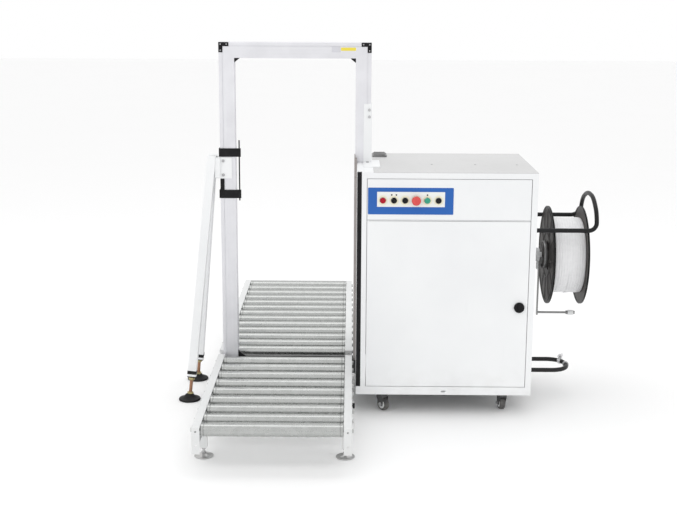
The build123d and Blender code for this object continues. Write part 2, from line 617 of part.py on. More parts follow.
# ---- casters ----
def caster_fork(x, y, turn):
    """Bearing ring and two cheeks; the wheel trails towards the angle turn."""
    away = (cos(radians(turn)), sin(radians(turn)))
    axle = (x + caster_trail * away[0], y + caster_trail * away[1])
    rod("z", (cabinet_lift - 18, cabinet_lift - 4.3), (x, y), 20)
    crown = Plane(origin=((x + axle[0]) / 2, (y + axle[1]) / 2, caster_radius * 2 + 3), x_dir=(*away, 0),
                  z_dir=(0, 0, 1))
    with BuildSketch(crown) as crown_face:
        RectangleRounded(44, caster_width + 12, 5)
    extrude(crown_face.sketch, amount=cabinet_lift - 18 - caster_radius * 2 - 3)
    cheek = Plane(origin=(*axle, caster_radius), x_dir=(*away, 0), z_dir=(away[1], -away[0], 0))
    for offset in (caster_width / 2 + 1.5, -caster_width / 2 - 4.5):
        with BuildSketch(cheek.offset(offset)) as cheek_face:
            with BuildLine():
                Polyline((-10, -8), (10, -8), (16, caster_radius + 4), (-30, caster_radius + 4), close=True)
            make_face()
        extrude(cheek_face.sketch, amount=3)
    with BuildSketch(cheek.offset(-caster_width / 2 - 6)) as axle_face:
        Circle(4)
    extrude(axle_face.sketch, amount=caster_width + 12)


def caster_wheel(x, y, turn):
    away = (cos(radians(turn)), sin(radians(turn)))
    axle = (x + caster_trail * away[0], y + caster_trail * away[1])
    middle = Plane(origin=(*axle, caster_radius), x_dir=(*away, 0), z_dir=(away[1], -away[0], 0))
    for radius, half, mode in ((caster_radius, caster_width / 2, Mode.ADD),
                               (10, caster_width / 2 + 1, Mode.ADD),
                               (4 + running_fit, caster_width, Mode.SUBTRACT)):
        with BuildSketch(middle.offset(-half)) as disc:
            Circle(radius)
        extrude(disc.sketch, amount=2 * half, mode=mode)


casters = (("front_left", caster_xs[0], caster_ys[0], -50.0),
           ("front_right", caster_xs[1], caster_ys[0], 100.0),
           ("rear_left", caster_xs[0], caster_ys[1], 90.0),
           ("rear_right", caster_xs[1], caster_ys[1], 90.0))
for corner, x, y, turn in casters[:2]:
    with BuildPart() as fork:
        caster_fork(x, y, turn)
    save(fork.part, f"{corner}_caster_fork")
with BuildPart() as rear_forks:
    for corner, x, y, turn in casters[2:]:
        caster_fork(x, y, turn)
        rod("z", (cabinet_lift - 5, cabinet_lift - 4), (x, y), 20)
save(rear_forks.part, "rear_caster_forks")
for corner, x, y, turn in casters:
    with BuildPart() as wheel:
        caster_wheel(x, y, turn)
        chamfer(wheel.edges().filter_by(GeomType.CIRCLE).filter_by(lambda e: e.radius == caster_radius), 3)
    save(wheel.part, f"{corner}_wheel")

# ---- strap reel: two flanges on a core, the wound strap, the fixed spindle ----
reel_x1 = reel_x + 2 * reel_flange + reel_inside
with BuildPart() as reel_flanges:
    for x in (reel_x, reel_x1 - reel_flange):
        rod("x", (x, x + reel_flange), (reel_y, reel_height), reel_radius)
        rod("x", (x - 2, x + reel_flange + 2), (reel_y, reel_height), reel_radius)
        rod("x", (x - 3, x + reel_flange + 3), (reel_y, reel_height), reel_radius - 7, mode=Mode.SUBTRACT)
        rod("x", (x, x + reel_flange), (reel_y, reel_height), reel_radius - 6)
    for x in (reel_x, reel_x1 - reel_flange):                # four openings in each flange
        with BuildSketch(Plane.YZ.offset(x - 1)):
            with Locations((reel_y, reel_height)):
                with PolarLocations(66, 4, 45):
                    SlotOverall(44, 24, rotation=90)
        extrude(amount=reel_flange + 2, mode=Mode.SUBTRACT)
    rod("x", (reel_x + reel_flange, reel_x1 - reel_flange), (reel_y, reel_height), reel_core_radius)
    rod("x", (reel_x + reel_flange, reel_x1 - reel_flange), (reel_y, reel_height), reel_core_radius - 4,
        mode=Mode.SUBTRACT)
    rod("x", (reel_x - drum_width, reel_x1), (reel_y, reel_height), 26)
    rod("x", (reel_x - drum_width, reel_x), (reel_y, reel_height), drum_radius)
    rod("x", (reel_x - drum_width - 1, reel_x1 + 1), (reel_y, reel_height), spindle_radius + running_fit,
        mode=Mode.SUBTRACT)
save(reel_flanges.part, "reel_flanges")

with BuildPart() as strap_coil:
    rod("x", (reel_x + reel_flange + 1, reel_x1 - reel_flange - 1), (reel_y, reel_height), coil_radius)
    rod("x", (reel_x, reel_x1), (reel_y, reel_height), reel_core_radius + 0.3, mode=Mode.SUBTRACT)
save(strap_coil.part, "strap_coil")

housing_end = reel_x - drum_width - 13
arm_x = (housing_end - 8, housing_end - 2)
with BuildPart() as reel_spindle:
    block((right_x, right_x + 6), (reel_y - 70, reel_y + 70), (reel_height - 80, reel_height + 80))
    rod("x", (right_x + 6, housing_end), (reel_y, reel_height), 32)
    rod("x", (housing_end, reel_x1 + 18), (reel_y, reel_height), spindle_radius)
    rod("x", (reel_x1 + 1, reel_x1 + 18), (reel_y, reel_height), 24)
    block(arm_x, (reel_y - 16, reel_y + 16), (lever_pivot_height - 14, reel_height))
    rod("x", (arm_x[1], arm_x[1] + 13.5), (reel_y, lever_pivot_height), 5)
    for y in (reel_y - 70, reel_y + 56):
        block((right_x + 6, right_x + 50), (y, y + 14), (reel_height - 60, reel_height + 60))
save(reel_spindle.part, "reel_spindle")

# ---- brake lever hanging below the spindle, with its guide roller ----
lever_x = (arm_x[1] + 1, arm_x[1] + 7)
lever_z = lever_pivot_height - lever_drop
rod_end = lever_x[1] + 176
with BuildPart() as brake_lever:
    rod("x", (lever_x[0], lever_x[1] + 6), (reel_y, lever_pivot_height), 14)
    block(lever_x, (reel_y - 10, reel_y + 10), (lever_z, lever_pivot_height))
    rod("x", lever_x, (reel_y, lever_z), 13)
    rod("x", (lever_x[0], rod_end), (reel_y, lever_z), 5)
    rod("x", (rod_end - 42, rod_end - 34), (reel_y, lever_z), 9)
    rod("x", (rod_end - 6, rod_end), (reel_y, lever_z), 8)
    rod("x", (lever_x[0] - 1, lever_x[1] + 7), (reel_y, lever_pivot_height), 5 + running_fit,
        mode=Mode.SUBTRACT)
save(brake_lever.part, "brake_lever")

with BuildPart() as guide_roller:
    rod("x", (rod_end - 33, rod_end - 7), (reel_y, lever_z), 12)
    chamfer(guide_roller.edges().filter_by(GeomType.CIRCLE), 2)
    rod("x", (rod_end - 34, rod_end - 6), (reel_y, lever_z), 5 + running_fit, mode=Mode.SUBTRACT)
save(guide_roller.part, "guide_roller")

# ---- bent tubes: reel guard and lower strap loop ----
guard_x = right_x + guard_reach
loop_x = right_x + loop_reach
loop_y = front_y + loop_set_back
guard_arc = ((-1, 0), (-0.9, 0.56), (-0.45, 0.97), (0.2, 1), (0.78, 0.66), (1, 0))
guard_points = [(right_x, reel_y - guard_half, guard_height)]
guard_points += [(guard_x, reel_y + across * guard_half, guard_height + up * guard_rise)
                 for across, up in guard_arc]
guard_points += [(right_x, reel_y + guard_half, guard_height)]
loop_points = [(right_x, loop_y - loop_half, loop_height), (loop_x, loop_y - loop_half, loop_height),
               (loop_x, loop_y + loop_half, loop_height), (right_x, loop_y + loop_half, loop_height)]


def bend_radii(points):
    """A bend radius for each inner point, as large as the runs either side of it allow."""
    radii = []
    for before, here, after in zip(points, points[1:], points[2:]):
        arriving = Vector(*here) - Vector(*before)
        leaving = Vector(*after) - Vector(*here)
        half_turn = radians(arriving.get_angle(leaving)) / 2
        radii.append(0.45 * min(arriving.length, leaving.length) / tan(half_turn))
    return radii


with BuildPart() as guard_tubes:
    for points in (guard_points, loop_points):
        with BuildLine() as centre_line:
            FilletPolyline(*points, radius=bend_radii(points))
        with BuildSketch(Plane(origin=points[0], z_dir=(1, 0, 0))) as section:
            Circle(guard_tube)
        sweep(section.sketch, path=centre_line.wire())
save(guard_tubes.part, "guard_tubes")

# ---- inside: sealing head with its drive, and the electrical box ----
shelf_top = shelf_z + post
head_x = (left_x + 4, left_x + 150)
throat = 17.0                  # half the width of the head's strap throat
with BuildPart() as sealing_head:
    block((head_x[0], head_x[1]), (arch_y - 55, arch_y + 55), (shelf_top, 820))
    block((head_x[0] - 1, head_x[0] + 46), (arch_y - throat, arch_y + throat), (shelf_top - 1, 821),
          mode=Mode.SUBTRACT)
    block((head_x[0] + 60, head_x[1] + 1), (arch_y - 40, arch_y + 40), (600, 780), mode=Mode.SUBTRACT)
    block((left_x - plate_out + 4, head_x[0] + 50), (arch_y - 8, arch_y + 8), (640, 715))
    rod("x", (head_x[1], head_x[1] + 190), (arch_y, shelf_top + 66), 60)
    rod("x", (head_x[1] - 20, head_x[1] + 4), (arch_y, shelf_top + 66), 52)
    rod("y", (arch_y - 66, arch_y - 55), (head_x[0] + 100, 700), 38)
    rod("y", (arch_y - 66, arch_y - 55), (head_x[0] + 70, 560), 30)
save(sealing_head.part, "sealing_head")

with BuildPart() as electrical_box:
    block((left_x + 360, frame_x[1] - post - 10), (rear_y - 170, rear_y - sheet), (560, 820))
    block((left_x + 361.5, frame_x[1] - post - 11.5), (rear_y - 169, rear_y - sheet - 1.5), (561.5, 818.5),
          mode=Mode.SUBTRACT)
    block((left_x + 357, frame_x[1] - post - 7), (rear_y - 178, rear_y - 170), (557, 823))
    rod("y", (rear_y - 14, rear_y + 16), (right_x - 150, base_z + 60), 10)
    rod("y", (rear_y, rear_y + 8), (right_x - 150, base_z + 60), 15)
    rod("y", (rear_y - 14, rear_y - sheet), (right_x - 150, base_z + 60), 15)
save(electrical_box.part, "electrical_box")
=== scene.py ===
import json
import math
import bmesh
import bpy
import numpy as np
from mathutils import Matrix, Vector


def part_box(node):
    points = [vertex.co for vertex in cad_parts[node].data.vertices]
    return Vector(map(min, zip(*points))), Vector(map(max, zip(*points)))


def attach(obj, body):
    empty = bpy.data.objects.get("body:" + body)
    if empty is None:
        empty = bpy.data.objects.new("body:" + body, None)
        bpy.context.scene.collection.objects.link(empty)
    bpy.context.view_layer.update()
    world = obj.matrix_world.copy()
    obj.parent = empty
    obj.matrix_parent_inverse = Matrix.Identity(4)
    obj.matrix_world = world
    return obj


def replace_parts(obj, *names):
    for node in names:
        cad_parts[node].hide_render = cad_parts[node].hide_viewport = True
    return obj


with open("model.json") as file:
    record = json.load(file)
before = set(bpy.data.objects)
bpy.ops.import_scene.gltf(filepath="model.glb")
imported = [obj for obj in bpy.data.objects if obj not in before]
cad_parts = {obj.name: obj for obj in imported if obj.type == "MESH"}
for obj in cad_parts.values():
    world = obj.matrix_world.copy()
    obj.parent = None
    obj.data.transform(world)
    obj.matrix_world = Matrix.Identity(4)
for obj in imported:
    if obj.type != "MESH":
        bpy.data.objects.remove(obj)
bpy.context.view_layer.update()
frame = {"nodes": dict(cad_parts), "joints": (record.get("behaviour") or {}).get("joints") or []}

cadNodes = frame["nodes"]
fullTurn = 2 * math.pi
xAxis, yAxis, zAxis = np.eye(3)
dice = np.random.default_rng(11)


# lowest and highest corner of a node, as arrays
def corners(node):
    low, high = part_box(node)
    return np.array(low), np.array(high)


shellLow, shellHigh = corners("cabinet_shell")
left, front, shellBase = shellLow
right, rear, top = shellHigh
archLow, archHigh = corners("arch_top_beam")
archY = (archLow[1] + archHigh[1]) / 2
archTop = archHigh[2]
print("frame loaded,", len(cadNodes), "nodes")

# camera, floor and lights
viewLook = {
    "place": (-0.171, -5.671, 1.832),
    "heading": math.radians(-0.53),
    "downward": math.radians(12.27),
    "roll": math.radians(0.25),
    "lens": 63.8,
    "sensor": 36,
}
studioLook = {
    "floorColour": (0.97, 0.97, 0.97),
    "floorSize": 60,
    "world": (1.0, 1.0, 1.0),
    "worldStrength": 1.0,
    "overhead": {"place": (-0.2, 0.6, 4.4), "aim": (-0.1, 0, 0), "size": (4.0, 2.4), "power": 30},
    "key": {"place": (-3.0, -4.2, 3.2), "aim": (0, -0.2, 0.7), "size": (2.0, 1.8), "power": 16},
    "fill": {"place": (4.2, -3.6, 2.2), "aim": (0.3, 0, 0.7), "size": (2.6, 2.6), "power": 6},
}


def makeCamera(look):
    heading, downward, roll = look["heading"], look["downward"], look["roll"]
    ahead = np.array([math.sin(heading) * math.cos(downward), math.cos(heading) * math.cos(downward),
                      -math.sin(downward)])
    level = np.array([math.cos(heading), -math.sin(heading), 0])
    above = np.cross(level, ahead)
    sideways = math.cos(roll) * level + math.sin(roll) * above
    upward = np.cross(sideways, ahead)
    data = bpy.data.cameras.new("camera")
    data.lens = look["lens"]
    data.sensor_width = look["sensor"]
    camera = bpy.data.objects.new("camera", data)
    bpy.context.collection.objects.link(camera)
    placed = np.eye(4)
    placed[:3, :3] = np.stack([sideways, upward, -ahead], axis=1)
    placed[:3, 3] = look["place"]
    camera.matrix_world = Matrix(placed.tolist())
    bpy.context.scene.camera = camera


def makeLamp(name, look):
    data = bpy.data.lights.new(name, "AREA")
    data.shape = "RECTANGLE"
    data.size, data.size_y = look["size"]
    data.energy = look["power"]
    lamp = bpy.data.objects.new(name, data)
    bpy.context.collection.objects.link(lamp)
    away = np.array(look["place"], float) - np.array(look["aim"], float)
    away /= np.linalg.norm(away)
    level = np.cross(zAxis, away)
    level = level / np.linalg.norm(level) if np.linalg.norm(level) > 1e-3 else xAxis
    placed = np.eye(4)
    placed[:3, :3] = np.stack([level, np.cross(away, level), away], axis=1)
    placed[:3, 3] = look["place"]
    lamp.matrix_world = Matrix(placed.tolist())


makeCamera(viewLook)
for lampName in ("overhead", "key", "fill"):
    makeLamp(lampName, studioLook[lampName])
world = bpy.data.worlds.new("studio")
bpy.context.scene.world = world
world.use_nodes = True
world.node_tree.nodes["Background"].inputs["Color"].default_value = (*studioLook["world"], 1)
world.node_tree.nodes["Background"].inputs["Strength"].default_value = studioLook["worldStrength"]
bpy.context.scene.view_settings.view_transform = "Standard"
print("camera and lights placed")


# shader maths: wraps one socket, and sums and products on it become Math nodes
class Flow:
    def __init__(self, tree, socket=None):
        self.tree = tree
        self.socket = socket

    # any node: its type, its settings, then the values or links of its sockets
    def add(self, kind, settings=None, sockets=None, out=0):
        node = self.tree.nodes.new(kind)
        for key, value in (settings or {}).items():
            setattr(node, key, value)
        for key, value in (sockets or {}).items():
            if isinstance(value, Flow):
                self.tree.links.new(value.socket, node.inputs[key])
            else:
                node.inputs[key].default_value = value
        return Flow(self.tree, node.outputs[out])

    def maths(self, operation, *values, clamp=False):
        return self.add("ShaderNodeMath", {"operation": operation, "use_clamp": clamp},
                        dict(enumerate(values)))

    def __add__(self, other):
        return self.maths("ADD", self, other)

    def __sub__(self, other):
        return self.maths("SUBTRACT", self, other)

    def __rsub__(self, other):
        return self.maths("SUBTRACT", other, self)

    def __mul__(self, other):
        return self.maths("MULTIPLY", self, other)

    def __abs__(self):
        return self.maths("ABSOLUTE", self)

    __radd__ = __add__
    __rmul__ = __mul__

    # 0 at low, 1 at high, straight between
    def between(self, low, high):
        return self.maths("MULTIPLY", self - low, 1 / (high - low), clamp=True)

    def noise(self, scale, detail=2.0):
        return self.add("ShaderNodeTexNoise", {}, {"Vector": self, "Scale": scale, "Detail": detail})

    def stretched(self, scale):
        return self.add("ShaderNodeMapping", {}, {"Vector": self, "Scale": scale})

    def part(self, index):
        return self.add("ShaderNodeSeparateXYZ", {}, {0: self}, out=index)

    # colour that goes from the first to the second as this value goes from 0 to 1
    def shade(self, first, second):
        first, second = [(*c, 1) if isinstance(c, tuple) else c for c in (first, second)]
        return self.add("ShaderNodeMix", {"data_type": "RGBA"}, {0: self, 6: first, 7: second}, out=2)

    def bump(self, depth, strength=1.0):
        return self.add("ShaderNodeBump", {}, {"Strength": strength, "Distance": depth, "Height": self})


def startFinish(name, constants):
    material = bpy.data.materials.new(name)
    material.use_nodes = True
    shader = material.node_tree.nodes["Principled BSDF"]
    for key, value in constants.items():
        shader.inputs[key].default_value = value
    where = Flow(material.node_tree).add("ShaderNodeTexCoord", out="Object")
    return material, shader, where


def feed(shader, sockets):
    for key, value in sockets.items():
        value.tree.links.new(value.socket, shader.inputs[key])


# powder coat: slow drift of the shade, orange peel, dust towards the floor, faint rub marks
def powderCoat(name, look):
    material, shader, where = startFinish(name, {"Coat Weight": look.get("coat", 0.1), "Coat Roughness": 0.2,
                                                 "Specular IOR Level": look.get("gloss", 0.4)})
    drift = where.noise(2.6, 3)
    grain = where.noise(210, 3)
    peel = where.noise(540, 2)
    rub = where.stretched((9, 9, 1.6)).noise(3.2, 6).between(0.62, 0.74)
    dust = (1 - where.part(2).between(0.0, 0.24)) * where.noise(14, 5).between(0.38, 0.78)
    colour = drift.between(0.3, 0.7).shade(look["dark"], look["light"])
    colour = (rub * 0.18).shade(colour, look["rub"])
    colour = (dust * look.get("dust", 0.3)).shade(colour, (0.42, 0.39, 0.35))
    rough = grain * 0.08 + (look["rough"] - 0.04) + rub * 0.1 + dust * 0.16
    feed(shader, {"Base Color": colour, "Roughness": rough,
                  "Normal": (peel * 0.7 + grain * 0.3).bump(0.00014)})
    return material


# bare or plated metal: fine lines along one direction, dull patches, small scratches
def drawnMetal(name, look):
    material, shader, where = startFinish(name, {"Metallic": look.get("metallic", 1.0)})
    lines = where.stretched(look["along"]).noise(1, 4)
    patches = where.noise(look.get("patches", 9), 4)
    scratches = where.stretched(look["across"]).noise(1, 3).between(0.66, 0.72)
    grime = (1 - where.part(2).between(0.0, 0.2)) * where.noise(20, 4).between(0.4, 0.8)
    colour = patches.between(0.3, 0.72).shade(look["dark"], look["light"])
    colour = (lines.between(0.3, 0.75) * 0.35).shade(colour, look["line"])
    colour = (grime * look.get("grime", 0.25)).shade(colour, (0.2, 0.18, 0.16))
    rough = patches * 0.16 + lines * 0.08 + (look["rough"] - 0.12) + scratches * 0.1
    feed(shader, {"Base Color": colour, "Roughness": rough,
                  "Normal": (lines + scratches * 0.4).bump(look.get("depth", 0.00005))})
    return material


# moulded plastic or rubber: leathery grain, paler where it is handled, dusty low down
def moulded(name, look):
    material, shader, where = startFinish(name, {"Coat Weight": look.get("coat", 0.0), "Coat Roughness": 0.15,
                                                 "Specular IOR Level": look.get("gloss", 0.14)})
    grain = where.noise(look.get("grain", 900), 2)
    cloud = where.noise(24, 4)
    handled = where.noise(70, 5).between(0.56, 0.75)
    dust = (1 - where.part(2).between(0.0, 0.16)) * where.noise(30, 4).between(0.35, 0.75)
    colour = cloud.between(0.3, 0.7).shade(look["dark"], look["light"])
    colour = (handled * 0.3).shade(colour, look["worn"])
    colour = (dust * look.get("dust", 0.35)).shade(colour, (0.36, 0.34, 0.31))
    rough = grain * 0.12 + (look["rough"] - 0.06) + handled * 0.08 + dust * 0.1
    feed(shader, {"Base Color": colour, "Roughness": rough, "Normal": grain.bump(look.get("depth", 0.00012))})
    return material


# roller tube: drawn zinc with a crimped ring near each end, its groove darkened as painted shade
def rollerZinc(name, look):
    material, shader, where = startFinish(name, {"Metallic": look["metallic"]})
    low, high = corners("front_roller_1")
    along = where.part(0)
    middle = (low[0] + high[0]) / 2
    reach = (high[0] - low[0]) / 2
    fromEnd = reach - abs(along - middle)
    crimp = 1 - abs(fromEnd - look["crimp"]).between(0.0, 0.004)
    lines = where.stretched((6, 420, 420)).noise(1, 4)
    spangle = where.noise(34, 5)
    scuffs = where.stretched((5, 60, 60)).noise(1, 5).between(0.6, 0.72)
    colour = spangle.between(0.28, 0.72).shade(look["dark"], look["light"])
    colour = (scuffs * 0.35).shade(colour, look["worn"])
    # painted shade: the crimp's groove is darkened toward the ring colour
    colour = (crimp * 0.5).shade(colour, look["ring"])
    rough = spangle * 0.16 + (look["rough"] - 0.08) + scuffs * 0.08
    feed(shader, {"Base Color": colour, "Roughness": rough,
                  "Normal": (lines * 0.05 - crimp * 2).bump(0.00016)})
    return material


# reel flange: moulded, brown-grey inside a black rim; the rim starts at a radius from the spindle
def reelFinish(name, look):
    material, shader, where = startFinish(name, {"Specular IOR Level": 0.14})
    low, high = corners("reel_flanges")
    spindle = tuple((low + high) / 2 * (0, 1, 1))
    away = where.add("ShaderNodeVectorMath", {"operation": "DISTANCE"},
                     {0: where.stretched((0, 1, 1)), 1: spindle}, out=1)
    rim = away.between(look["rimStart"], look["rimStart"] + 0.003)
    grain = where.noise(420, 2)
    cloud = where.noise(18, 4)
    scuffs = where.noise(60, 5).between(0.56, 0.75)
    colour = cloud.between(0.3, 0.7).shade(look["dark"], look["light"])
    colour = (scuffs * 0.3).shade(colour, look["worn"])
    colour = rim.shade(colour, look["rim"])
    feed(shader, {"Base Color": colour, "Roughness": grain * 0.12 + 0.42 + scuffs * 0.08 - rim * 0.1,
                  "Normal": grain.bump(0.0002)})
    return material


# strap: woven-look emboss along and across each winding, painted shade darkening the grooves between turns
def strapFinish(name, look):
    material, shader, where = startFinish(name, {"Coat Weight": 0.2,
                                                 "Coat Roughness": 0.3})
    turns = (where.part(0) * (fullTurn / look["width"])).maths("SINE",
                                                               where.part(0) * (fullTurn / look["width"]))
    emboss = where.noise(720, 1)
    layers = where.noise(46, 5)
    colour = layers.between(0.3, 0.7).shade(look["dark"], look["light"])
    # painted shade: darker lines between the turns
    colour = (turns.between(0.55, 1.0) * 0.22).shade(colour, look["gap"])
    feed(shader, {"Base Color": colour, "Roughness": emboss * 0.15 + (look["rough"] - 0.07),
                  "Normal": emboss.bump(0.00015)})
    return material


# printed legend: pale ground with a soft warm ring round each button place
def legendFinish(name, look, places):
    material, shader, where = startFinish(name, {"Coat Weight": 0.4, "Coat Roughness": 0.1})
    warmth = None
    for x, z in places:
        gap = where.add("ShaderNodeVectorMath", {"operation": "DISTANCE"},
                        {0: where.stretched((1, 0, 1)), 1: (x, 0, z)}, out=1)
        ring = 1 - gap.between(look["ringIn"], look["ringOut"])
        warmth = ring if warmth is None else warmth.maths("MAXIMUM", warmth, ring)
    speckle = where.noise(1400, 1)
    colour = warmth.shade(look["ground"], look["ring"])
    colour = (speckle.between(0.4, 0.6) * 0.06).shade(colour, look["ink"])
    feed(shader, {"Base Color": colour, "Roughness": where.noise(60, 3) * 0.14 + 0.28,
                  "Normal": speckle.bump(0.00003)})
    return material


finishLooks = {
    "whitePaint": {"dark": (0.83, 0.84, 0.85), "light": (0.88, 0.89, 0.895), "rub": (0.78, 0.79, 0.8),
                   "rough": 0.42},
    "coverPaint": {"dark": (0.56, 0.56, 0.56), "light": (0.61, 0.61, 0.61), "rub": (0.48, 0.48, 0.49),
                   "rough": 0.5},
    "tablePaint": {"dark": (0.70, 0.71, 0.71), "light": (0.77, 0.78, 0.78), "rub": (0.66, 0.67, 0.66),
                   "rough": 0.4},
    "greyPaint": {"dark": (0.30, 0.31, 0.32), "light": (0.37, 0.38, 0.39), "rub": (0.5, 0.5, 0.5),
                  "rough": 0.45},
    "blackMetal": {"dark": (0.010, 0.010, 0.011), "light": (0.020, 0.020, 0.021), "rub": (0.11, 0.11, 0.11),
                   "rough": 0.42, "coat": 0.0, "dust": 0.1, "gloss": 0.2},
    "blueOverlay": {"dark": (0.012, 0.105, 0.42), "light": (0.018, 0.13, 0.47), "rub": (0.04, 0.17, 0.52),
                    "rough": 0.5, "coat": 0.0},
    "yellowLabel": {"dark": (0.80, 0.66, 0.06), "light": (0.88, 0.74, 0.10), "rub": (0.9, 0.84, 0.4),
                    "rough": 0.5},
    "greyLabel": {"dark": (0.60, 0.60, 0.64), "light": (0.68, 0.68, 0.72), "rub": (0.75, 0.75, 0.78),
                  "rough": 0.5},
}
metalLooks = {
    "uprightAluminium": {"dark": (0.70, 0.70, 0.73), "light": (0.80, 0.80, 0.83), "line": (0.86, 0.86, 0.88),
                         "along": (640, 640, 2.2), "across": (26, 26, 300), "rough": 0.42, "metallic": 0.72,
                         "grime": 0.15},
    "levelAluminium": {"dark": (0.70, 0.70, 0.73), "light": (0.80, 0.80, 0.83), "line": (0.86, 0.86, 0.88),
                       "along": (2.2, 640, 640), "across": (300, 26, 26), "rough": 0.42, "metallic": 0.72,
                       "grime": 0.15},
    "shadedBeam": {"dark": (0.10, 0.10, 0.10), "light": (0.17, 0.17, 0.17), "line": (0.24, 0.24, 0.24),
                   "along": (2.2, 640, 640), "across": (300, 26, 26), "rough": 0.42, "metallic": 0.6},
    "headPlate": {"dark": (0.32, 0.29, 0.28), "light": (0.40, 0.37, 0.36), "line": (0.5, 0.47, 0.46),
                  "along": (520, 520, 3), "across": (40, 40, 260), "rough": 0.4, "metallic": 0.8},
    "machinedSteel": {"dark": (0.46, 0.46, 0.47), "light": (0.62, 0.62, 0.63), "line": (0.74, 0.74, 0.75),
                      "along": (14, 520, 520), "across": (300, 40, 40), "rough": 0.32},
    "leverSteel": {"dark": (0.20, 0.20, 0.20), "light": (0.30, 0.30, 0.30), "line": (0.4, 0.4, 0.4),
                   "along": (300, 300, 40), "across": (60, 60, 300), "rough": 0.36, "metallic": 0.8},
    "footSteel": {"dark": (0.50, 0.50, 0.50), "light": (0.66, 0.66, 0.66), "line": (0.78, 0.78, 0.78),
                  "along": (300, 300, 40), "across": (60, 60, 300), "rough": 0.34, "grime": 0.45},
    "screwSteel": {"dark": (0.40, 0.40, 0.41), "light": (0.58, 0.58, 0.59), "line": (0.7, 0.7, 0.71),
                   "along": (400, 400, 400), "across": (200, 60, 60), "rough": 0.3},
    "brightChrome": {"dark": (0.66, 0.66, 0.67), "light": (0.78, 0.78, 0.79), "line": (0.85, 0.85, 0.86),
                     "along": (300, 300, 300), "across": (200, 60, 60), "rough": 0.18},
    "studBronze": {"dark": (0.28, 0.13, 0.08), "light": (0.42, 0.22, 0.13), "line": (0.52, 0.34, 0.2),
                   "along": (200, 200, 200), "across": (60, 60, 200), "rough": 0.42, "metallic": 0.7},
    "yellowZinc": {"dark": (0.34, 0.28, 0.13), "light": (0.5, 0.42, 0.2), "line": (0.6, 0.54, 0.3),
                   "along": (200, 200, 200), "across": (60, 60, 200), "rough": 0.36, "metallic": 0.85},
    "casterSteel": {"dark": (0.05, 0.05, 0.052), "light": (0.09, 0.09, 0.095), "line": (0.2, 0.2, 0.2),
                    "along": (240, 240, 240), "across": (60, 60, 200), "rough": 0.36, "metallic": 0.5},
}
plasticLooks = {
    "blackPlastic": {"dark": (0.008, 0.008, 0.009), "light": (0.016, 0.016, 0.017),
                     "worn": (0.04, 0.04, 0.04),
                     "rough": 0.42},
    "darkPlastic": {"dark": (0.10, 0.10, 0.105), "light": (0.15, 0.15, 0.155), "worn": (0.25, 0.25, 0.25),
                    "rough": 0.5},
    "ventPlastic": {"dark": (0.16, 0.16, 0.16), "light": (0.26, 0.26, 0.26), "worn": (0.4, 0.4, 0.4),
                    "rough": 0.5},
    "redPlastic": {"dark": (0.36, 0.006, 0.016), "light": (0.46, 0.010, 0.026), "worn": (0.5, 0.04, 0.05),
                   "rough": 0.3, "coat": 0.1},
    "stopRed": {"dark": (0.62, 0.075, 0.07), "light": (0.74, 0.10, 0.095), "worn": (0.8, 0.2, 0.18),
                "rough": 0.32, "coat": 0.15},
    "greenPlastic": {"dark": (0.03, 0.30, 0.19), "light": (0.05, 0.40, 0.26), "worn": (0.12, 0.48, 0.36),
                     "rough": 0.3, "coat": 0.1},
    "whitePlastic": {"dark": (0.74, 0.75, 0.75), "light": (0.82, 0.83, 0.83), "worn": (0.7, 0.7, 0.69),
                     "rough": 0.38},
    "wheelRubber": {"dark": (0.05, 0.05, 0.052), "light": (0.09, 0.09, 0.093), "worn": (0.2, 0.2, 0.2),
                    "rough": 0.6, "dust": 0.5},
    "footRubber": {"dark": (0.008, 0.008, 0.009), "light": (0.015, 0.015, 0.016), "worn": (0.03, 0.03, 0.03),
                   "rough": 0.5, "dust": 0.06},
}
zincLook = {"metallic": 0.95, "dark": (0.44, 0.45, 0.44), "light": (0.50, 0.51, 0.50),
            "worn": (0.56, 0.57, 0.56),
            # ring: painted shade colour for the crimp's groove
            "ring": (0.14, 0.14, 0.14), "rough": 0.27, "crimp": 0.052}
reelLook = {"dark": (0.055, 0.050, 0.048), "light": (0.085, 0.078, 0.074), "worn": (0.14, 0.13, 0.125),
            "rim": (0.006, 0.006, 0.006), "rimStart": 0.213}
strapLook = {"width": 0.0123, "dark": (0.86, 0.86, 0.87), "light": (0.92, 0.92, 0.93),
             # gap: painted shade colour between the turns
             "gap": (0.72, 0.72, 0.74),
             "rough": 0.36}
legendLook = {"ringIn": 0.013, "ringOut": 0.024, "ground": (0.86, 0.87, 0.84), "ring": (0.86, 0.78, 0.46),
              "ink": (0.7, 0.7, 0.66)}

buttonNodes = ("reset_button", "mode_selector", "reverse_button", "emergency_stop", "start_button",
               "feed_button")
buttonPlaces = []
for node in buttonNodes:
    low, high = corners(node)
    buttonPlaces.append(((low[0] + high[0]) / 2, (low[2] + high[2]) / 2))
buttonLine = buttonPlaces[0][1]

finishes = {name: powderCoat(name, look) for name, look in finishLooks.items()}
finishes.update({name: drawnMetal(name, look) for name, look in metalLooks.items()})
finishes.update({name: moulded(name, look) for name, look in plasticLooks.items()})
finishes["rollerZinc"] = rollerZinc("rollerZinc", zincLook)
finishes["reelBlack"] = reelFinish("reelBlack", reelLook)
finishes["strapWhite"] = strapFinish("strapWhite", strapLook)
finishes["legendPrint"] = legendFinish("legendPrint", legendLook, buttonPlaces)
print("finishes made:", len(finishes))

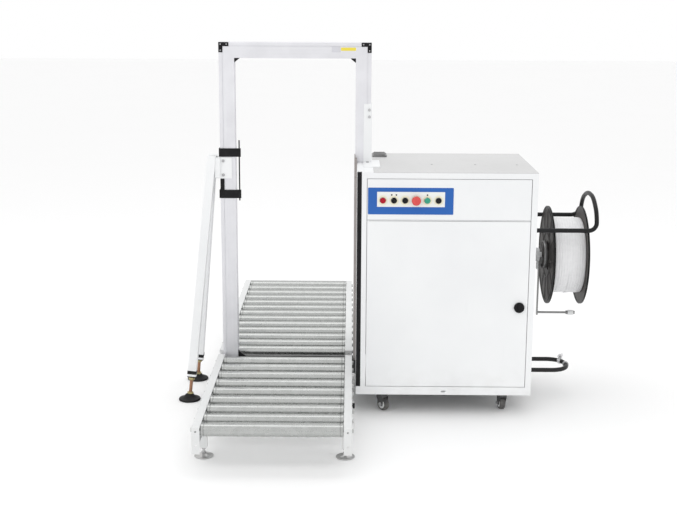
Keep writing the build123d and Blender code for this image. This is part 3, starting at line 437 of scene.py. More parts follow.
# which finish each solid part takes
nodeFinishes = {
    "whitePaint": ("cabinet_frame", "cabinet_shell", "control_fascia", "front_door", "mast_bracket",
                   "arch_brace",
                   "reel_spindle"),
    "coverPaint": ("top_cover",),
    "headPlate": ("head_plate",),
    "uprightAluminium": ("arch_left_post", "arch_right_post"),
    "levelAluminium": ("arch_top_beam",),
    "shadedBeam": ("arch_bottom_beam",),
    "blackPlastic": ("arch_brackets", "door_lock", "mode_selector", "reverse_button", "feed_button"),
    "tablePaint": ("front_table_frame", "rear_table_frame"),
    "footSteel": ("levelling_feet",),
    "casterSteel": ("rear_caster_forks", "front_left_caster_fork", "front_right_caster_fork"),
    "blackMetal": ("guard_tubes",),
    "machinedSteel": ("sealing_head",),
    "leverSteel": ("brake_lever",),
    "greyPaint": ("electrical_box",),
    "redPlastic": ("reset_button",),
    "stopRed": ("emergency_stop",),
    "greenPlastic": ("start_button",),
    "reelBlack": ("reel_flanges",),
    "strapWhite": ("strap_coil",),
    "whitePlastic": ("guide_roller",),
    "wheelRubber": ("front_left_wheel", "front_right_wheel", "rear_left_wheel", "rear_right_wheel"),
    "rollerZinc": tuple(name for name in cadNodes if "_roller_" in name),
}
for finish, names in nodeFinishes.items():
    for name in names:
        for place in range(len(cadNodes[name].material_slots)):
            cadNodes[name].material_slots[place].material = finishes[finish]
print("solid parts finished")


# quads of a grid of points; rows or columns that close on themselves are wrapped round
def gridFaces(shape, wrapRows, wrapColumns):
    rows, columns = shape
    i = np.arange(rows if wrapRows else rows - 1)[:, None]
    j = np.arange(columns if wrapColumns else columns - 1)[None, :]
    nextRow = (i + 1) % rows
    nextColumn = (j + 1) % columns
    quads = (i * columns + j, nextRow * columns + j, nextRow * columns + nextColumn, i * columns + nextColumn)
    return np.stack(np.broadcast_arrays(*quads), axis=-1).reshape(-1, 4)


# puts grids into one mesh, merges what meets, turns faces outwards, gives it a finish and a body
def makePiece(name, grids, finish, body="machine", crease=32):
    counts = np.cumsum([0] + [grid.shape[0] * grid.shape[1] for grid, _, _ in grids])
    points = np.concatenate([grid.reshape(-1, 3) for grid, _, _ in grids])
    faces = np.concatenate([gridFaces(grid.shape[:2], wrapRows, wrapColumns) + start
                            for (grid, wrapRows, wrapColumns), start in zip(grids, counts)])
    mesh = bpy.data.meshes.new(name)
    mesh.from_pydata(points.tolist(), [], faces.tolist())
    tidy = bmesh.new()
    tidy.from_mesh(mesh)
    bmesh.ops.remove_doubles(tidy, verts=tidy.verts, dist=0.000004)
    bmesh.ops.recalc_face_normals(tidy, faces=tidy.faces)
    tidy.to_mesh(mesh)
    tidy.free()
    mesh.shade_smooth()
    mesh.set_sharp_from_angle(angle=math.radians(crease))
    mesh.materials.append(finishes[finish])
    piece = bpy.data.objects.new(name, mesh)
    bpy.context.collection.objects.link(piece)
    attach(piece, body)
    return piece


# two directions square to an axis
def squareTo(axis):
    helper = xAxis if abs(axis[0]) < 0.9 else yAxis
    across = np.cross(axis, helper)
    across /= np.linalg.norm(across)
    return across, np.cross(axis, across)


directions = 36
dialAngles = np.linspace(0, fullTurn, directions, endpoint=False)


# distance from the middle to a hexagon's edge, in each of the directions
def hexReach(halfFlats, angles=dialAngles):
    return halfFlats / np.cos((angles + math.pi / 6) % (math.pi / 3) - math.pi / 6)


# distance to a rounded star's edge: a mean radius and a cosine ripple
def starReach(radius, ripple, points, angles=dialAngles):
    return radius + ripple * np.cos(points * angles)


# turned shape: profile rows of (radius, height) swept round an axis; a radius may differ by direction;
# both ends run in to the axis unless the profile is a closed loop
def turned(centre, axis, profile, loop=False, angles=dialAngles):
    radii = np.array([np.broadcast_to(radius, angles.shape) for radius, _ in profile])
    heights = np.array([height for _, height in profile])
    if not loop:
        radii = np.pad(radii, ((1, 1), (0, 0)))
        heights = np.pad(heights, 1, mode="edge")
    across, above = squareTo(np.array(axis, float))
    ring = np.cos(angles)[:, None] * across + np.sin(angles)[:, None] * above
    points = np.array(centre) + heights[:, None, None] * np.array(axis) + radii[:, :, None] * ring
    return points, loop, True


# rounded rectangle: four quarter circles about four centres
def roundedOutline(width, height, radius, steps=6):
    bend = np.linspace(0, math.pi / 2, steps)[None] + np.arange(4)[:, None] * math.pi / 2
    centreX = (width / 2 - radius) * np.array([1, -1, -1, 1])[:, None]
    centreY = (height / 2 - radius) * np.array([1, 1, -1, -1])[:, None]
    return np.stack([centreX + radius * np.cos(bend), centreY + radius * np.sin(bend)], axis=-1).reshape(-1,
                                                                                                         2)


# flat shape: outlines one in front of the other, each with its height, closed at the middle of both ends
# unless they go round as a loop
def layered(centre, across, above, outward, layers, loop=False):
    outlines = np.array([outline for outline, _ in layers])
    heights = np.array([height for _, height in layers])
    if not loop:
        middles = outlines.mean(axis=1, keepdims=True) * np.ones((1, outlines.shape[1], 1))
        outlines = np.concatenate([middles[:1], outlines, middles[-1:]])
        heights = np.pad(heights, 1, mode="edge")
    points = (np.array(centre) + outlines[:, :, :1] * np.array(across) + outlines[:, :, 1:] * np.array(above)
              + heights[:, None, None] * np.array(outward))
    return points, loop, True


# section carried along a flat path: the section's first coordinate lies in the path's plane, its second
# along the plane's normal; open paths are closed at both ends
def carried(path, normal, section, loop=False):
    path = np.array(path, float)
    ahead = np.roll(path, -1, axis=0) - np.roll(path, 1, axis=0) if loop else np.gradient(path, axis=0)
    ahead /= np.linalg.norm(ahead, axis=1, keepdims=True)
    beside = np.cross(ahead, normal)
    points = path[:, None] + section[None, :, :1] * beside[:, None] + section[None, :, 1:] * np.array(normal)
    if not loop:
        points = np.concatenate([points[:1].mean(axis=1, keepdims=True) * np.ones((1, len(section), 1)),
                                 points,
                                 points[-1:].mean(axis=1, keepdims=True) * np.ones((1, len(section), 1))])
    return points, loop, True


# bolt head with a hexagon socket, its seat at the given place
def capScrew(place, axis, radius, height):
    socket = hexReach(radius * 0.46)
    return turned(place, axis, [(radius, 0), (radius, height * 0.8), (radius * 0.88, height),
                                (socket, height),
                                (socket * 0.96, height * 0.45)])


# low domed head with a cross-shaped recess left as a shallow star
def panScrew(place, axis, radius, height):
    slot = starReach(radius * 0.34, radius * 0.12, 4)
    return turned(place, axis, [(radius, 0), (radius * 0.98, height * 0.35), (radius * 0.82, height * 0.78),
                                (radius * 0.55, height), (slot, height * 0.98), (slot * 0.6, height * 0.45)])


# hexagon head on a washer
def hexBolt(place, axis, halfFlats, height):
    return turned(place, axis, [(halfFlats * 1.45, 0), (halfFlats * 1.45, height * 0.2),
                                (hexReach(halfFlats), height * 0.2),
                                (hexReach(halfFlats), height * 0.9), (halfFlats * 0.95, height)])


# cabinet trim: the black strip in the front left corner
stripLook = {"width": 0.0195, "round": 0.005, "clear": 0.0004}


def makeEdgeStrip(look):
    span = look["width"]
    middleX = left + look["clear"] + span / 2
    middleY = front + look["clear"] + span / 2
    outline = roundedOutline(span, span, look["round"], 7)
    small = roundedOutline(span - 0.002, span - 0.002, look["round"] - 0.001, 7)
    layers = [(small, shellBase + 0.0006), (outline, shellBase + 0.0016), (outline, top - 0.0016),
              (small, top - 0.0006)]
    return makePiece("edge_strip", [layered((middleX, middleY, 0), xAxis, yAxis, zAxis, layers)],
                     "blackPlastic")


makeEdgeStrip(stripLook)

# control panel: blue frame, pale legend, legend dots, bezels, collar
panelLook = {
    "blueLeft": 0.047, "blueRight": 0.416, "blueLow": 0.910, "blueHigh": 1.027,
    "paleLeft": 0.086, "paleRight": 0.379, "paleLow": 0.943, "paleHigh": 1.009,
    "proud": 0.0011, "dot": 0.0034, "dotRise": 0.0235,
}


def makeControlPanel(look):
    proud = look["proud"]
    width = look["blueRight"] - look["blueLeft"]
    height = look["blueHigh"] - look["blueLow"]
    centreX = left + (look["blueLeft"] + look["blueRight"]) / 2
    centreZ = (look["blueHigh"] + look["blueLow"]) / 2
    holeWidth = look["paleRight"] - look["paleLeft"]
    holeHeight = look["paleHigh"] - look["paleLow"]
    shiftX = left + (look["paleLeft"] + look["paleRight"]) / 2 - centreX
    shiftZ = (look["paleHigh"] + look["paleLow"]) / 2 - centreZ
    outer = roundedOutline(width, height, 0.004)
    outerFace = roundedOutline(width - 0.001, height - 0.001, 0.0035)
    inner = roundedOutline(holeWidth, holeHeight, 0.002) + (shiftX, shiftZ)
    innerFace = roundedOutline(holeWidth + 0.001, holeHeight + 0.001, 0.0025) + (shiftX, shiftZ)
    ring = [(outer, 0.0), (outer, proud * 0.6), (outerFace, proud), (innerFace, proud), (inner, proud * 0.6),
            (inner, 0)]
    makePiece("control_overlay", [layered((centreX, front, centreZ), xAxis, zAxis, -yAxis, ring, loop=True)],
              "blueOverlay")
    middle = (centreX + shiftX, front, centreZ + shiftZ)
    plate = roundedOutline(holeWidth - 0.0006, holeHeight - 0.0006, 0.002)
    makePiece("control_legend", [layered(middle, xAxis, zAxis, -yAxis, [(plate, 0), (plate, proud * 0.7)])],
              "legendPrint")
    dots = []
    for index, shifts in ((1, (-0.010, 0.010)), (4, (0.0,))):
        for shift in shifts:
            place = (buttonPlaces[index][0] + shift, front - proud * 0.7, buttonLine + look["dotRise"])
            dots.append(turned(place, -yAxis, [(look["dot"], 0), (look["dot"], 0.0005),
                                               (look["dot"] * 0.8, 0.0009)]))
    makePiece("legend_dots", dots, "blackPlastic")


bezelLook = {"inner": 0.0122, "outer": 0.0148, "rise": 0.0072, "base": 0.0009,
             "headDepth": 0.013, "stopTravel": 0.005, "stopClear": 0.0004}


def makeBezels(look):
    rings = []
    for index, (x, z) in enumerate(buttonPlaces):
        if index == 3:
            continue
        inner, outer, rise = look["inner"], look["outer"], look["rise"]
        profile = [(inner, 0), (outer, 0), (outer, look["base"]), (outer * 0.985, rise * 0.55),
                   (outer * 0.93, rise * 0.9), (outer * 0.885, rise), (inner * 1.01, rise * 0.94)]
        rings.append(turned((x, front, z), -yAxis, profile, loop=True))
    makePiece("button_bezels", rings, "brightChrome")
    x = buttonPlaces[3][0]
    stopLow, stopHigh = corners("emergency_stop")
    stopZ = (stopLow[2] + stopHigh[2]) / 2
    # the collar ends short of the head when it is pressed
    reach = front - stopLow[1] - look["headDepth"] - look["stopTravel"] - look["stopClear"]
    collar = [(0.0083, 0), (0.0165, 0), (0.0165, 0.002), (0.0145, 0.0035), (0.0125, reach), (0.0083, reach)]
    makePiece("stop_collar", [turned((x, front, stopZ), -yAxis, collar, loop=True)], "darkPlastic")


makeControlPanel(panelLook)
makeBezels(bezelLook)
print("control panel made")

# screws of the cover and the rear wall
screwLook = {"coverRadius": 0.0052, "coverHeight": 0.0024, "wallRadius": 0.0048, "wallHeight": 0.0022,
             "wallInset": 0.012, "wallColumns": 4, "wallRows": 6, "coverBack": 0.256,
             "coverShares": (0.43, 0.68, 0.92)}


def makeCabinetScrews(look):
    width = right - left
    heads = [panScrew((left + width * share, front + look["coverBack"], top), zAxis, look["coverRadius"],
                      look["coverHeight"])
             for share in look["coverShares"]]
    makePiece("cover_screws", heads, "screwSteel")
    inset = look["wallInset"]
    heights = np.linspace(shellBase + inset, top - inset, look["wallRows"])
    widths = np.linspace(left + inset, right - inset, look["wallColumns"])
    spots = [(x, z) for z in heights for x in (widths[0], widths[-1])]
    spots += [(x, z) for x in widths[1:-1] for z in (heights[0], heights[-1])]
    heads = [panScrew((x, rear, z), yAxis, look["wallRadius"], look["wallHeight"]) for x, z in spots]
    makePiece("rear_wall_screws", heads, "screwSteel")


makeCabinetScrews(screwLook)

# pressed hoods over the louvre slots of the rear wall
hoodLook = {"length": 0.104, "height": 0.011, "depth": 0.0055, "columns": 3, "rows": 8, "pitchX": 0.130,
            "pitchZ": 0.016, "centres": (0.300, 0.860)}


# quarter-round hood: a shell whose bulge is a half sine along the slot and a quarter turn across it
def hoodGrid(x, z, look):
    u = np.linspace(0, 1, 13)[:, None]
    v = np.linspace(0, math.pi / 2, 6)[None, :]
    bulge = np.clip(np.sin(math.pi * u) * 3.2, 0, 1)
    across = x + (u - 0.5) * look["length"] + 0 * v
    outside = rear + look["depth"] * bulge * np.cos(v) + 0.0002
    upward = z + look["height"] * (np.sin(v) - 0.35) * (0.35 + 0.65 * bulge)
    outer = np.stack([across, outside, upward], axis=-1)
    inner = np.stack([across, outside - 0.0009 * bulge, upward - 0.0009 * bulge], axis=-1)
    return np.concatenate([outer, inner[:, ::-1]], axis=1), False, True


def makeHoods(look):
    middle = (left + right) / 2
    grids = []
    for centreZ in look["centres"]:
        for column in range(look["columns"]):
            for row in range(look["rows"]):
                x = middle + (column - (look["columns"] - 1) / 2) * look["pitchX"]
                z = centreZ + (row - (look["rows"] - 1) / 2) * look["pitchZ"]
                grids.append(hoodGrid(x, z, look))
    makePiece("rear_louvres", grids, "whitePaint", crease=50)


makeHoods(hoodLook)

# low ribbed vent cover on the cabinet's top
ventLook = {"left": 0.074, "right": 0.141, "near": 0.500, "far": 0.622, "height": 0.011, "fins": 7}


def makeTopVent(look):
    width = look["right"] - look["left"]
    depth = look["far"] - look["near"]
    centre = (left + (look["left"] + look["right"]) / 2, front + (look["near"] + look["far"]) / 2, top)
    high = look["height"]
    layers = [(roundedOutline(width, depth, 0.006), 0), (roundedOutline(width, depth, 0.006), high * 0.45),
              (roundedOutline(width - 0.006, depth - 0.006, 0.006), high * 0.62),
              (roundedOutline(width - 0.014, depth - 0.014, 0.004), high * 0.64)]
    grids = [layered(centre, xAxis, yAxis, zAxis, layers)]
    for place in np.linspace(-0.42, 0.42, look["fins"]) * depth:
        fin = roundedOutline(width - 0.014, 0.007, 0.0025, 4)
        crown = roundedOutline(width - 0.018, 0.004, 0.0015, 4)
        spot = np.array(centre) + (0, place, high * 0.6)
        grids.append(layered(spot, xAxis, yAxis, zAxis, [(fin, 0), (fin, high * 0.3), (crown, high * 0.4)]))
    makePiece("top_vent", grids, "ventPlastic")


makeTopVent(ventLook)
print("cabinet trim made")

# screws of the arch's corner plates, the brace plate and the mast bracket
postLeftLow, postLeftHigh = corners("arch_left_post")
postRightLow, postRightHigh = corners("arch_right_post")
mastLow, mastHigh = corners("mast_bracket")
archScrewLook = {"arm": 0.045, "width": 0.018, "plate": 0.003, "radius": 0.0034, "height": 0.0022,
                 "braceHeights": (1.098, 1.034), "braceIn": 0.014, "braceRadius": 0.0065,
                 "mastDrops": (0.028, 0.059), "mastIn": 0.008, "plateGap": 0.004,
                 "capHeight": 0.005, "mastFoot": (0.055, 0.133)}


def makeArchScrews(look):
    heads = []
    half = look["width"] / 2
    for face, outward in ((postLeftLow[1] - look["plate"], -yAxis), (postLeftHigh[1] + look["plate"], yAxis)):
        for x, sign in ((postLeftLow[0], 1), (postRightHigh[0], -1)):
            for across, down in ((half, half), (look["arm"] - half, half), (half, look["arm"] - half)):
                heads.append(panScrew((x + sign * across, face, archTop - down), outward, look["radius"],
                                      look["height"]))
    makePiece("corner_plate_screws", heads, "screwSteel")
    radius, tall, gap = look["braceRadius"], look["capHeight"], look["plateGap"]
    heads = [capScrew((postLeftLow[0] + look["braceIn"], postLeftLow[1] - gap, z), -yAxis, radius, tall)
             for z in look["braceHeights"]]
    inward, back = look["mastFoot"]
    heads += [capScrew((mastHigh[0] - inward, mastLow[1] + back, top + gap), zAxis, radius, tall)]
    mastX = postRightHigh[0] - look["mastIn"]
    for drop in look["mastDrops"]:
        heads.append(capScrew((mastX, postRightLow[1] - gap, mastHigh[2] - drop), -yAxis, radius, tall))
    makePiece("arch_bolts", heads, "screwSteel")


makeArchScrews(archScrewLook)

# blank labels on the top beam
labelLook = {"yellow": (0.547, 0.614, -0.036, -0.022), "grey": (0.506, 0.545, -0.043, -0.018),
             "thick": 0.0004}


def makeLabels(look):
    for name, finish in (("yellow", "yellowLabel"), ("grey", "greyLabel")):
        x0, x1, z0, z1 = look[name]
        outline = roundedOutline(x1 - x0, z1 - z0, 0.0015, 4)
        centre = (postLeftLow[0] + (x0 + x1) / 2, archLow[1], archTop + (z0 + z1) / 2)
        makePiece(name + "_label", [layered(centre, xAxis, zAxis, -yAxis,
                                            [(outline, 0), (outline, look["thick"])])],
                  finish)


makeLabels(labelLook)
print("arch trim made")

# feet: black brace feet with bronze studs, pressed steel table feet, post foot
footLook = {
    "braceReach": 0.768, "braceSpread": 0.154, "braceTop": 1.119, "braceTopReach": 0.660,
            "braceTopSpread": 0.025,
    "braceRadius": 0.050, "tubeEnd": 0.108, "stud": 0.008, "pitch": 0.0022,
    "tableRadius": 0.039, "tableStud": 0.0059, "setBack": 0.175, "inset": 0.026,
}


# threaded rod: the radius follows a triangle wave of height minus one pitch for each turn
def threaded(foot, axis, start, end, radius, pitch):
    rows = int((end - start) / pitch * 4)
    heights = np.linspace(start, end, rows)
    angles = np.linspace(0, fullTurn, 14, endpoint=False)
    phase = (heights[:, None] / pitch - angles[None] / fullTurn) % 1
    radii = radius - 0.09 * radius * np.abs(2 * phase - 1)
    return turned(foot, axis, list(zip(radii, heights)), angles=angles)


def braceLeg(look, side):
    foot = np.array([left - look["braceReach"], archY + side * look["braceSpread"], 0])
    apex = np.array([left - look["braceTopReach"], archY + side * look["braceTopSpread"], look["braceTop"]])
    return foot, (apex - foot) / np.linalg.norm(apex - foot)


def makeBraceFeet(look):
    pads, studs, nuts, bands = [], [], [], []
    radius = look["braceRadius"]
    for side in (-1, 1):
        foot, direction = braceLeg(look, side)
        pads.append(turned(foot, zAxis, [(radius * 0.93, 0), (radius, 0.002), (radius, 0.006),
                                         (radius * 0.96, 0.009),
                                         (radius * 0.8, 0.0105), (radius * 0.62, 0.014),
                                         (radius * 0.46, 0.020),
                                         (radius * 0.40, 0.026), (radius * 0.32, 0.0285), (0.012, 0.029)]))
        studs.append(threaded(foot, direction, 0.024, look["tubeEnd"] - 0.002, look["stud"], look["pitch"]))
        nut = hexReach(0.0125)
        nutAt = look["tubeEnd"] - 0.0145
        nuts.append(turned(foot, direction, [(0.0118, nutAt), (nut, nutAt + 0.002), (nut, nutAt + 0.011),
                                             (0.0118, nutAt + 0.013)]))
        nuts.append(turned(foot, direction, [(nut, 0.029), (nut, 0.037), (0.0115, 0.038)]))
        across = np.array([0, 1, 0]) - direction * direction[1]
        across /= np.linalg.norm(across)
        above = np.cross(direction, across)
        wide, tight = roundedOutline(0.0425, 0.0425, 0.0052), roundedOutline(0.0402, 0.0402, 0.0042)
        start = look["tubeEnd"] + 0.014
        band = [(tight, start), (wide, start + 0.001), (wide, start + 0.015), (tight, start + 0.016)]
        bands.append(layered(foot, across, above, direction, band))
        cap = [(roundedOutline(0.036, 0.036, 0.004), look["tubeEnd"] - 0.0005),
               (roundedOutline(0.0404, 0.0404, 0.0042),
               look["tubeEnd"]), (roundedOutline(0.0404, 0.0404, 0.0042), look["tubeEnd"] + 0.004)]
        bands.append(layered(foot, across, above, direction, cap))
    padPiece = makePiece("brace_foot_pads", pads, "footRubber", crease=40)
    makePiece("brace_foot_studs", studs, "studBronze", crease=60)
    makePiece("brace_foot_nuts", nuts, "yellowZinc")
    makePiece("brace_tube_bands", bands, "blackPlastic")
    return padPiece


def makeTableFeet(look):
    discs, nuts = [], []
    radius = look["tableRadius"]
    profile = [(radius * 0.95, 0), (radius, 0.0015), (radius, 0.0035), (radius * 0.93, 0.0048),
               (radius * 0.86, 0.0042),
               (radius * 0.62, 0.0052), (radius * 0.45, 0.009), (radius * 0.32, 0.0125),
               (radius * 0.27, 0.0135)]
    for table in ("front_table_frame", "rear_table_frame"):
        low, high = corners(table)
        legBottom = low[2]
        for x, side in ((low[0], 1), (high[0], -1)):
            for y, sign in ((low[1], 1), (high[1], -1)):
                spot = np.array([x + side * look["inset"], y + sign * look["setBack"], 0])
                discs.append(turned(spot, zAxis, profile))
                discs.append(threaded(spot, zAxis, 0.012, legBottom + 0.021, look["tableStud"], 0.0018))
                nut = hexReach(0.0085)
                for base in (legBottom - 0.0085, legBottom + 0.0052, 0.0135):
                    nuts.append(turned(spot, zAxis, [(0.0079, base), (nut, base + 0.001), (nut, base + 0.007),
                                                     (0.0079, base + 0.008)]))
    postX = (postLeftLow[0] + postLeftHigh[0]) / 2
    spot = np.array([postX, archY, 0])
    discs.append(turned(spot, zAxis, [(r * 0.72, z) for r, z in profile]))
    discs.append(threaded(spot, zAxis, 0.012, postLeftLow[2] - 0.003, 0.0078, 0.0022))
    nut = hexReach(0.012)
    nuts.append(turned(spot, zAxis, [(0.024, postLeftLow[2] - 0.006), (0.024, postLeftLow[2] - 0.0005)]))
    nuts.append(turned(spot, zAxis, [(0.0112, postLeftLow[2] - 0.018), (nut, postLeftLow[2] - 0.017),
                                     (nut, postLeftLow[2] - 0.007), (0.0112, postLeftLow[2] - 0.006)]))
    makePiece("table_feet", discs, "footSteel", crease=40)
    makePiece("table_foot_nuts", nuts, "screwSteel")


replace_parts(makeBraceFeet(footLook), "levelling_feet")
makeTableFeet(footLook)
print("feet made")

# wound strap: the radius over the width shows each turn as a low ridge, with a slow wander round the reel
coilLow, coilHigh = corners("strap_coil")
flangeLow, flangeHigh = corners("reel_flanges")
reelY = (flangeLow[1] + flangeHigh[1]) / 2
reelZ = (flangeLow[2] + flangeHigh[2]) / 2
coilRadius = (coilHigh[2] - coilLow[2]) / 2
windLook = {"turns": 12, "ridge": 0.0011, "bore": 0.1006, "angles": 240, "perTurn": 9, "wander": 0.0009,
            "strapWidth": 0.012, "strapThick": 0.0008}


def makeStrap(look):
    perTurn = look["perTurn"]
    count = look["turns"] * perTurn + 1
    share = np.linspace(0, 1, count)
    angles = np.linspace(0, fullTurn, look["angles"], endpoint=False)
    width = coilHigh[0] - coilLow[0]
    inTurn = share * look["turns"] % 1.0
    ridge = look["ridge"] * -np.abs(2 * inTurn[None] - 1) ** 6
    turnIndex = np.minimum((share * look["turns"]).astype(int), look["turns"] - 1)
    offsets = dice.uniform(-1, 0, look["turns"])[turnIndex]
    slow = np.sin(2 * angles[:, None] + turnIndex[None] * 1.7) * 0.5 - 0.5
    edge = -0.0025 * (np.abs(2 * share - 1) ** 10)
    outer = coilRadius - 0.0003 + ridge + look["wander"] * (offsets[None] + slow) * 0.5 + edge[None]
    x = coilLow[0] + 0.0002 + share * (width - 0.0004)
    sideSteps = np.linspace(0, 1, 26)[1:-1]
    rim = outer[:, -1:]
    sideRadii = rim + (look["bore"] - rim) * sideSteps[None]
    wave = 0.0007 * np.abs(np.sin(sideSteps * 38))[None] * np.ones((len(angles), 1))
    radii = np.concatenate([outer, sideRadii, np.full((len(angles), count), look["bore"]),
                            sideRadii[:, ::-1]], axis=1)
    places = np.concatenate([np.tile(x, (len(angles), 1)), x[-1] - wave, np.tile(x[::-1], (len(angles), 1)),
                             x[0] + wave[:, ::-1]], axis=1)
    grid = np.stack([places, reelY + radii * np.cos(angles)[:, None],
                     reelZ + radii * np.sin(angles)[:, None]], axis=-1)
    coil = makePiece("wound_strap", [(grid, True, True)], "strapWhite", body="reel",
                     crease=60)
    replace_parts(coil, "strap_coil")
    # loose end: lies on the last layer, lifts off along its last stretch
    lap = np.linspace(math.radians(200), math.radians(318), 60)
    lift = np.clip((lap - math.radians(292)) / math.radians(26), 0, 1) ** 2 * 0.012
    radius = coilRadius + 0.0006 + lift
    middle = coilLow[0] + width * (6.5 / look["turns"])
    path = np.stack([np.full(60, middle), reelY + radius * np.cos(lap), reelZ + radius * np.sin(lap)],
                    axis=-1)
    section = roundedOutline(look["strapThick"], look["strapWidth"], 0.0003, 3)
    makePiece("strap_end", [carried(path, xAxis, section)], "strapWhite", body="reel")


makeStrap(windLook)

# ribs and hub ring moulded on both faces of the reel's flanges
ribLook = {"count": 12, "inner": 0.108, "outer": 0.212, "width": 0.0032, "rise": 0.0016}


# rib: a narrow slab whose width tapers outwards, turned to each rib's angle
def makeReelRibs(look):
    grids = []
    for face, outward in ((flangeHigh[0] - 0.002, xAxis), (flangeLow[0] + 0.022, -xAxis)):
        for turn in np.arange(look["count"]) * fullTurn / look["count"]:
            radial = np.array([0, math.cos(turn), math.sin(turn)])
            beside = np.cross(xAxis, radial)
            centre = np.array([face, reelY, reelZ]) + radial * (look["inner"] + look["outer"]) / 2
            length = look["outer"] - look["inner"]
            foot = roundedOutline(length, look["width"] * 2, 0.0012, 3)
            crown = roundedOutline(length - 0.003, look["width"], 0.0008, 3)
            grids.append(layered(centre, radial, beside, outward, [(foot, -0.0004), (crown, look["rise"])]))
        for radius in (look["inner"] - 0.004, look["outer"] + 0.003):
            profile = [(radius - 0.003, -0.0004), (radius - 0.0015, look["rise"]),
                       (radius + 0.0015, look["rise"]),
                       (radius + 0.003, -0.0004)]
            grids.append(turned((face, reelY, reelZ), outward, profile, loop=True,
                                angles=np.linspace(0, fullTurn, 96, endpoint=False)))
    makePiece("reel_ribs", grids, "reelBlack", body="reel")


makeReelRibs(ribLook)

# painted shade: flat black ovals standing in for the shaded pockets between the spokes of the reel's drum, on
# its cabinet side
pocketShadeLook = {"count": 6, "radius": 0.043, "length": 0.030, "width": 0.019, "rise": 0.0008}


# pocket shade: a flat black oval, its long side along the radius
def makeHubPocketShades(look):
    grids = []
    outline = roundedOutline(look["length"], look["width"], look["width"] * 0.48, 7)
    for turn in np.arange(look["count"]) * fullTurn / look["count"]:
        radial = np.array([0, math.cos(turn), math.sin(turn)])
        centre = np.array([flangeLow[0], reelY, reelZ]) + radial * look["radius"]
        layers = [(outline, 0), (outline, look["rise"] * 0.6), (outline * 0.94, look["rise"])]
        grids.append(layered(centre, radial, np.cross(radial, xAxis), -xAxis, layers))
    makePiece("hub_pocket_shades", grids, "blackPlastic", body="reel")


makeHubPocketShades(pocketShadeLook)
print("reel made")

# clamp on the lower loop, brake band on the reel's drum, bolts of the spindle plate
spindleEnd = corners("reel_spindle")[1][0]
sideLook = {"loopX": 0.854, "loopBend": 0.0783, "loopY": -0.140, "loopZ": 0.135, "tube": 0.010}


def makeLoopClamp(look):
    bend = math.radians(52)
    centre = np.array([look["loopX"] - look["loopBend"] + look["loopBend"] * math.sin(bend),
                       look["loopY"] - look["loopBend"] + look["loopBend"] * math.cos(bend), look["loopZ"]])
    ahead = np.array([math.cos(bend), -math.sin(bend), 0])
    tube = look["tube"]
    ring = [(tube + 0.0002, -0.009), (tube + 0.0035, -0.009), (tube + 0.0042, -0.007), (tube + 0.0042, 0.007),
            (tube + 0.0035, 0.009), (tube + 0.0002, 0.009)]
    grids = [turned(centre, ahead, ring, loop=True)]
    grids.append(turned(centre + zAxis * (tube + 0.002), zAxis,
                        [(0.0095, 0), (0.0095, 0.006), (hexReach(0.0085), 0.007),
                 (hexReach(0.0085), 0.015), (0.006, 0.016), (0.006, 0.021), (0.005, 0.022)]))
    outward = np.cross(ahead, zAxis)
    for side in (-1, 1):
        wing = [(roundedOutline(0.010, 0.013, 0.004, 5), -0.0022),
                (roundedOutline(0.012, 0.016, 0.005, 5), 0),
                (roundedOutline(0.010, 0.013, 0.004, 5), 0.0022)]
        grids.append(layered(centre + zAxis * (tube + 0.017) + outward * side * 0.011, outward, zAxis, ahead,
                             wing))
    makePiece("loop_clamp", grids, "brightChrome")
    second = np.array([look["loopX"], look["loopY"] - look["loopBend"] * 1.06, look["loopZ"]])
    makePiece("loop_sleeve", [turned(second, yAxis, ring, loop=True)], "screwSteel")


makeLoopClamp(sideLook)

bandLook = {"drum": 0.062, "clear": 0.0014, "thick": 0.0016, "width": 0.016, "start": -60, "end": 240}


def makeBrakeBand(look):
    lap = np.radians(np.linspace(look["start"], look["end"], 90))
    radius = look["drum"] + look["clear"] + look["thick"] / 2
    x = flangeLow[0] + look["width"] / 2 + 0.004
    path = np.stack([np.full(90, x), reelY + radius * np.cos(lap), reelZ + radius * np.sin(lap)], axis=-1)
    section = roundedOutline(look["thick"], look["width"], 0.0005, 3)
    makePiece("brake_band", [carried(path, xAxis, section)], "leverSteel")


makeBrakeBand(bandLook)

# split clamp on the spindle's housing: a ring and a block below it with a pinch bolt
clampLook = {"housing": 0.032, "thick": 0.007, "start": 0.022, "width": 0.034, "block": (0.030, 0.026),
             "drop": 0.046}


def makeHousingClamp(look):
    inner, outer = look["housing"] + 0.0003, look["housing"] + look["thick"]
    start, end = right + look["start"], right + look["start"] + look["width"]
    profile = [(inner, start), (outer - 0.001, start), (outer, start + 0.001), (outer, end - 0.001),
               (outer - 0.001, end), (inner, end)]
    grids = [turned((0, reelY, reelZ), xAxis, profile, loop=True)]
    outline = roundedOutline(*look["block"], 0.004, 4)
    middle = np.array([(start + end) / 2, reelY, reelZ - look["drop"]])
    grids.append(layered(middle, xAxis, zAxis, yAxis,
                         [(outline * 0.95, -0.014), (outline, -0.012), (outline, 0.012),
                                                       (outline * 0.95, 0.014)]))
    makePiece("housing_clamp", grids, "blackPlastic")
    bolt = capScrew(middle - 0.014 * yAxis, -yAxis, 0.0065, 0.005)
    makePiece("housing_clamp_bolt", [bolt], "brightChrome")


makeHousingClamp(clampLook)


def makeSpindleBolts():
    bolts = [hexBolt((right + 0.006, reelY + side * 0.040, reelZ + rise * 0.066), xAxis, 0.0065, 0.007)
             for side in (-1, 1) for rise in (-1, 1)]
    makePiece("spindle_bolts", bolts, "screwSteel")
    x = spindleEnd
    knurl = starReach(0.0295, 0.0012, 18)
    knob = [(0.026, -0.0168), (knurl, -0.015), (knurl, -0.003), (0.026, -0.001), (0.012, 0.0),
            (0.0105, -0.002)]
    makePiece("reel_nut", [turned((x + 0.0005, reelY, reelZ), xAxis, knob)], "blackPlastic")


makeSpindleBolts()
print("reel side made")
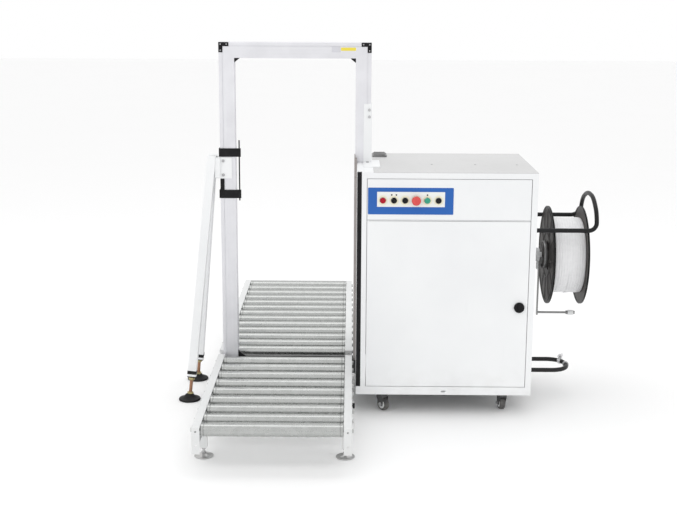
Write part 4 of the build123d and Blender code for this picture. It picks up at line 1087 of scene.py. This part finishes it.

# caster details: axle nuts and covers on each caster
casterLook = {"radius": 0.030, "half": 0.018, "nut": 0.0062}


def makeCasterDetails(look):
    for corner in ("front_left", "front_right", "rear_left", "rear_right"):
        low, high = corners(corner + "_wheel")
        centre = (low + high) / 2
        joint = next(j for j in frame["joints"] if j["name"] == corner + "_wheel_roll")
        axis = np.array(joint["axis"], float)
        axis /= np.linalg.norm(axis)
        nut = hexReach(look["nut"])
        grids = []
        for side in (-1, 1):
            seat = centre + axis * side * look["half"]
            grids.append(turned(seat, axis * side, [(look["nut"] * 1.5, 0), (look["nut"] * 1.5, 0.001),
                                                    (nut, 0.001),
                                                    (nut, 0.0055), (look["nut"] * 0.9, 0.0065)]))
        body = corner + "_caster" if corner.startswith("front") else "machine"
        makePiece(corner + "_axle_nuts", grids, "screwSteel", body=body)
        hub = []
        for side in (-1, 1):
            seat = centre + axis * side * 0.0118
            hub.append(turned(seat, axis * side, [(0.0205, 0), (0.0195, 0.0008), (0.0165, 0.0004),
                                                  (0.0125, 0.0009),
                                                  (0.0045, 0.0011), (0.0042, 0.0002)], loop=True))
        makePiece(corner + "_hub", hub, "whitePlastic", body=corner + "_wheel")


makeCasterDetails(casterLook)

# star knob on the front table's right rail
knobLook = {"radius": 0.0105, "ripple": 0.0016, "fromEnd": 0.36, "drop": 0.030}


def makeRailKnob(look):
    low, high = corners("front_table_frame")
    place = (high[0], low[1] + look["fromEnd"], high[2] - look["drop"])
    star = starReach(look["radius"], look["ripple"], 5)
    profile = [(0.004, 0), (0.004, 0.003), (star * 0.86, 0.0032), (star, 0.005), (star, 0.0095),
               (star * 0.82, 0.0115)]
    makePiece("rail_knob", [turned(place, xAxis, profile)], "blackPlastic")


makeRailKnob(knobLook)

# cable gland: hexagon body, ribbed clamp nut and an empty rubber bush
glandLook = {"lift": 0.060, "inset": 0.150}


def makeGland(look):
    place = (right - look["inset"], rear, shellBase + look["lift"])
    hexagon = hexReach(0.0155)
    ribs = starReach(0.0138, 0.0005, 18)
    profile = [(0.0101, 0), (hexagon, 0), (hexagon, 0.0075), (0.0145, 0.0085), (ribs, 0.009), (ribs, 0.0165),
               (0.0115, 0.0195), (0.0101, 0.0195)]
    makePiece("cable_gland", [turned(place, yAxis, profile, loop=True)], "blackPlastic")


makeGland(glandLook)
print("small fittings made")


# pale floor, wide enough to fill every view
def makeFloor(look):
    half = look["floorSize"] / 2
    side = np.linspace(-half, half, 3)
    grid = np.stack([*np.meshgrid(side, side, indexing="ij"), np.full((3, 3), -0.0003)], axis=-1)
    material, shader, where = startFinish("paleFloor", {"Specular IOR Level": 0.2})
    cloud = where.noise(0.8, 3)
    feed(shader, {"Base Color": cloud.shade(look["floorColour"],
                                            tuple(0.985 * c for c in look["floorColour"])),
                  "Roughness": cloud * 0.05 + 0.75})
    mesh = bpy.data.meshes.new("floor")
    mesh.from_pydata(grid.reshape(-1, 3).tolist(), [], gridFaces((3, 3), False, False).tolist())
    mesh.materials.append(material)
    floor = bpy.data.objects.new("floor", mesh)
    bpy.context.collection.objects.link(floor)


makeFloor(studioLook)
print("scene ready")
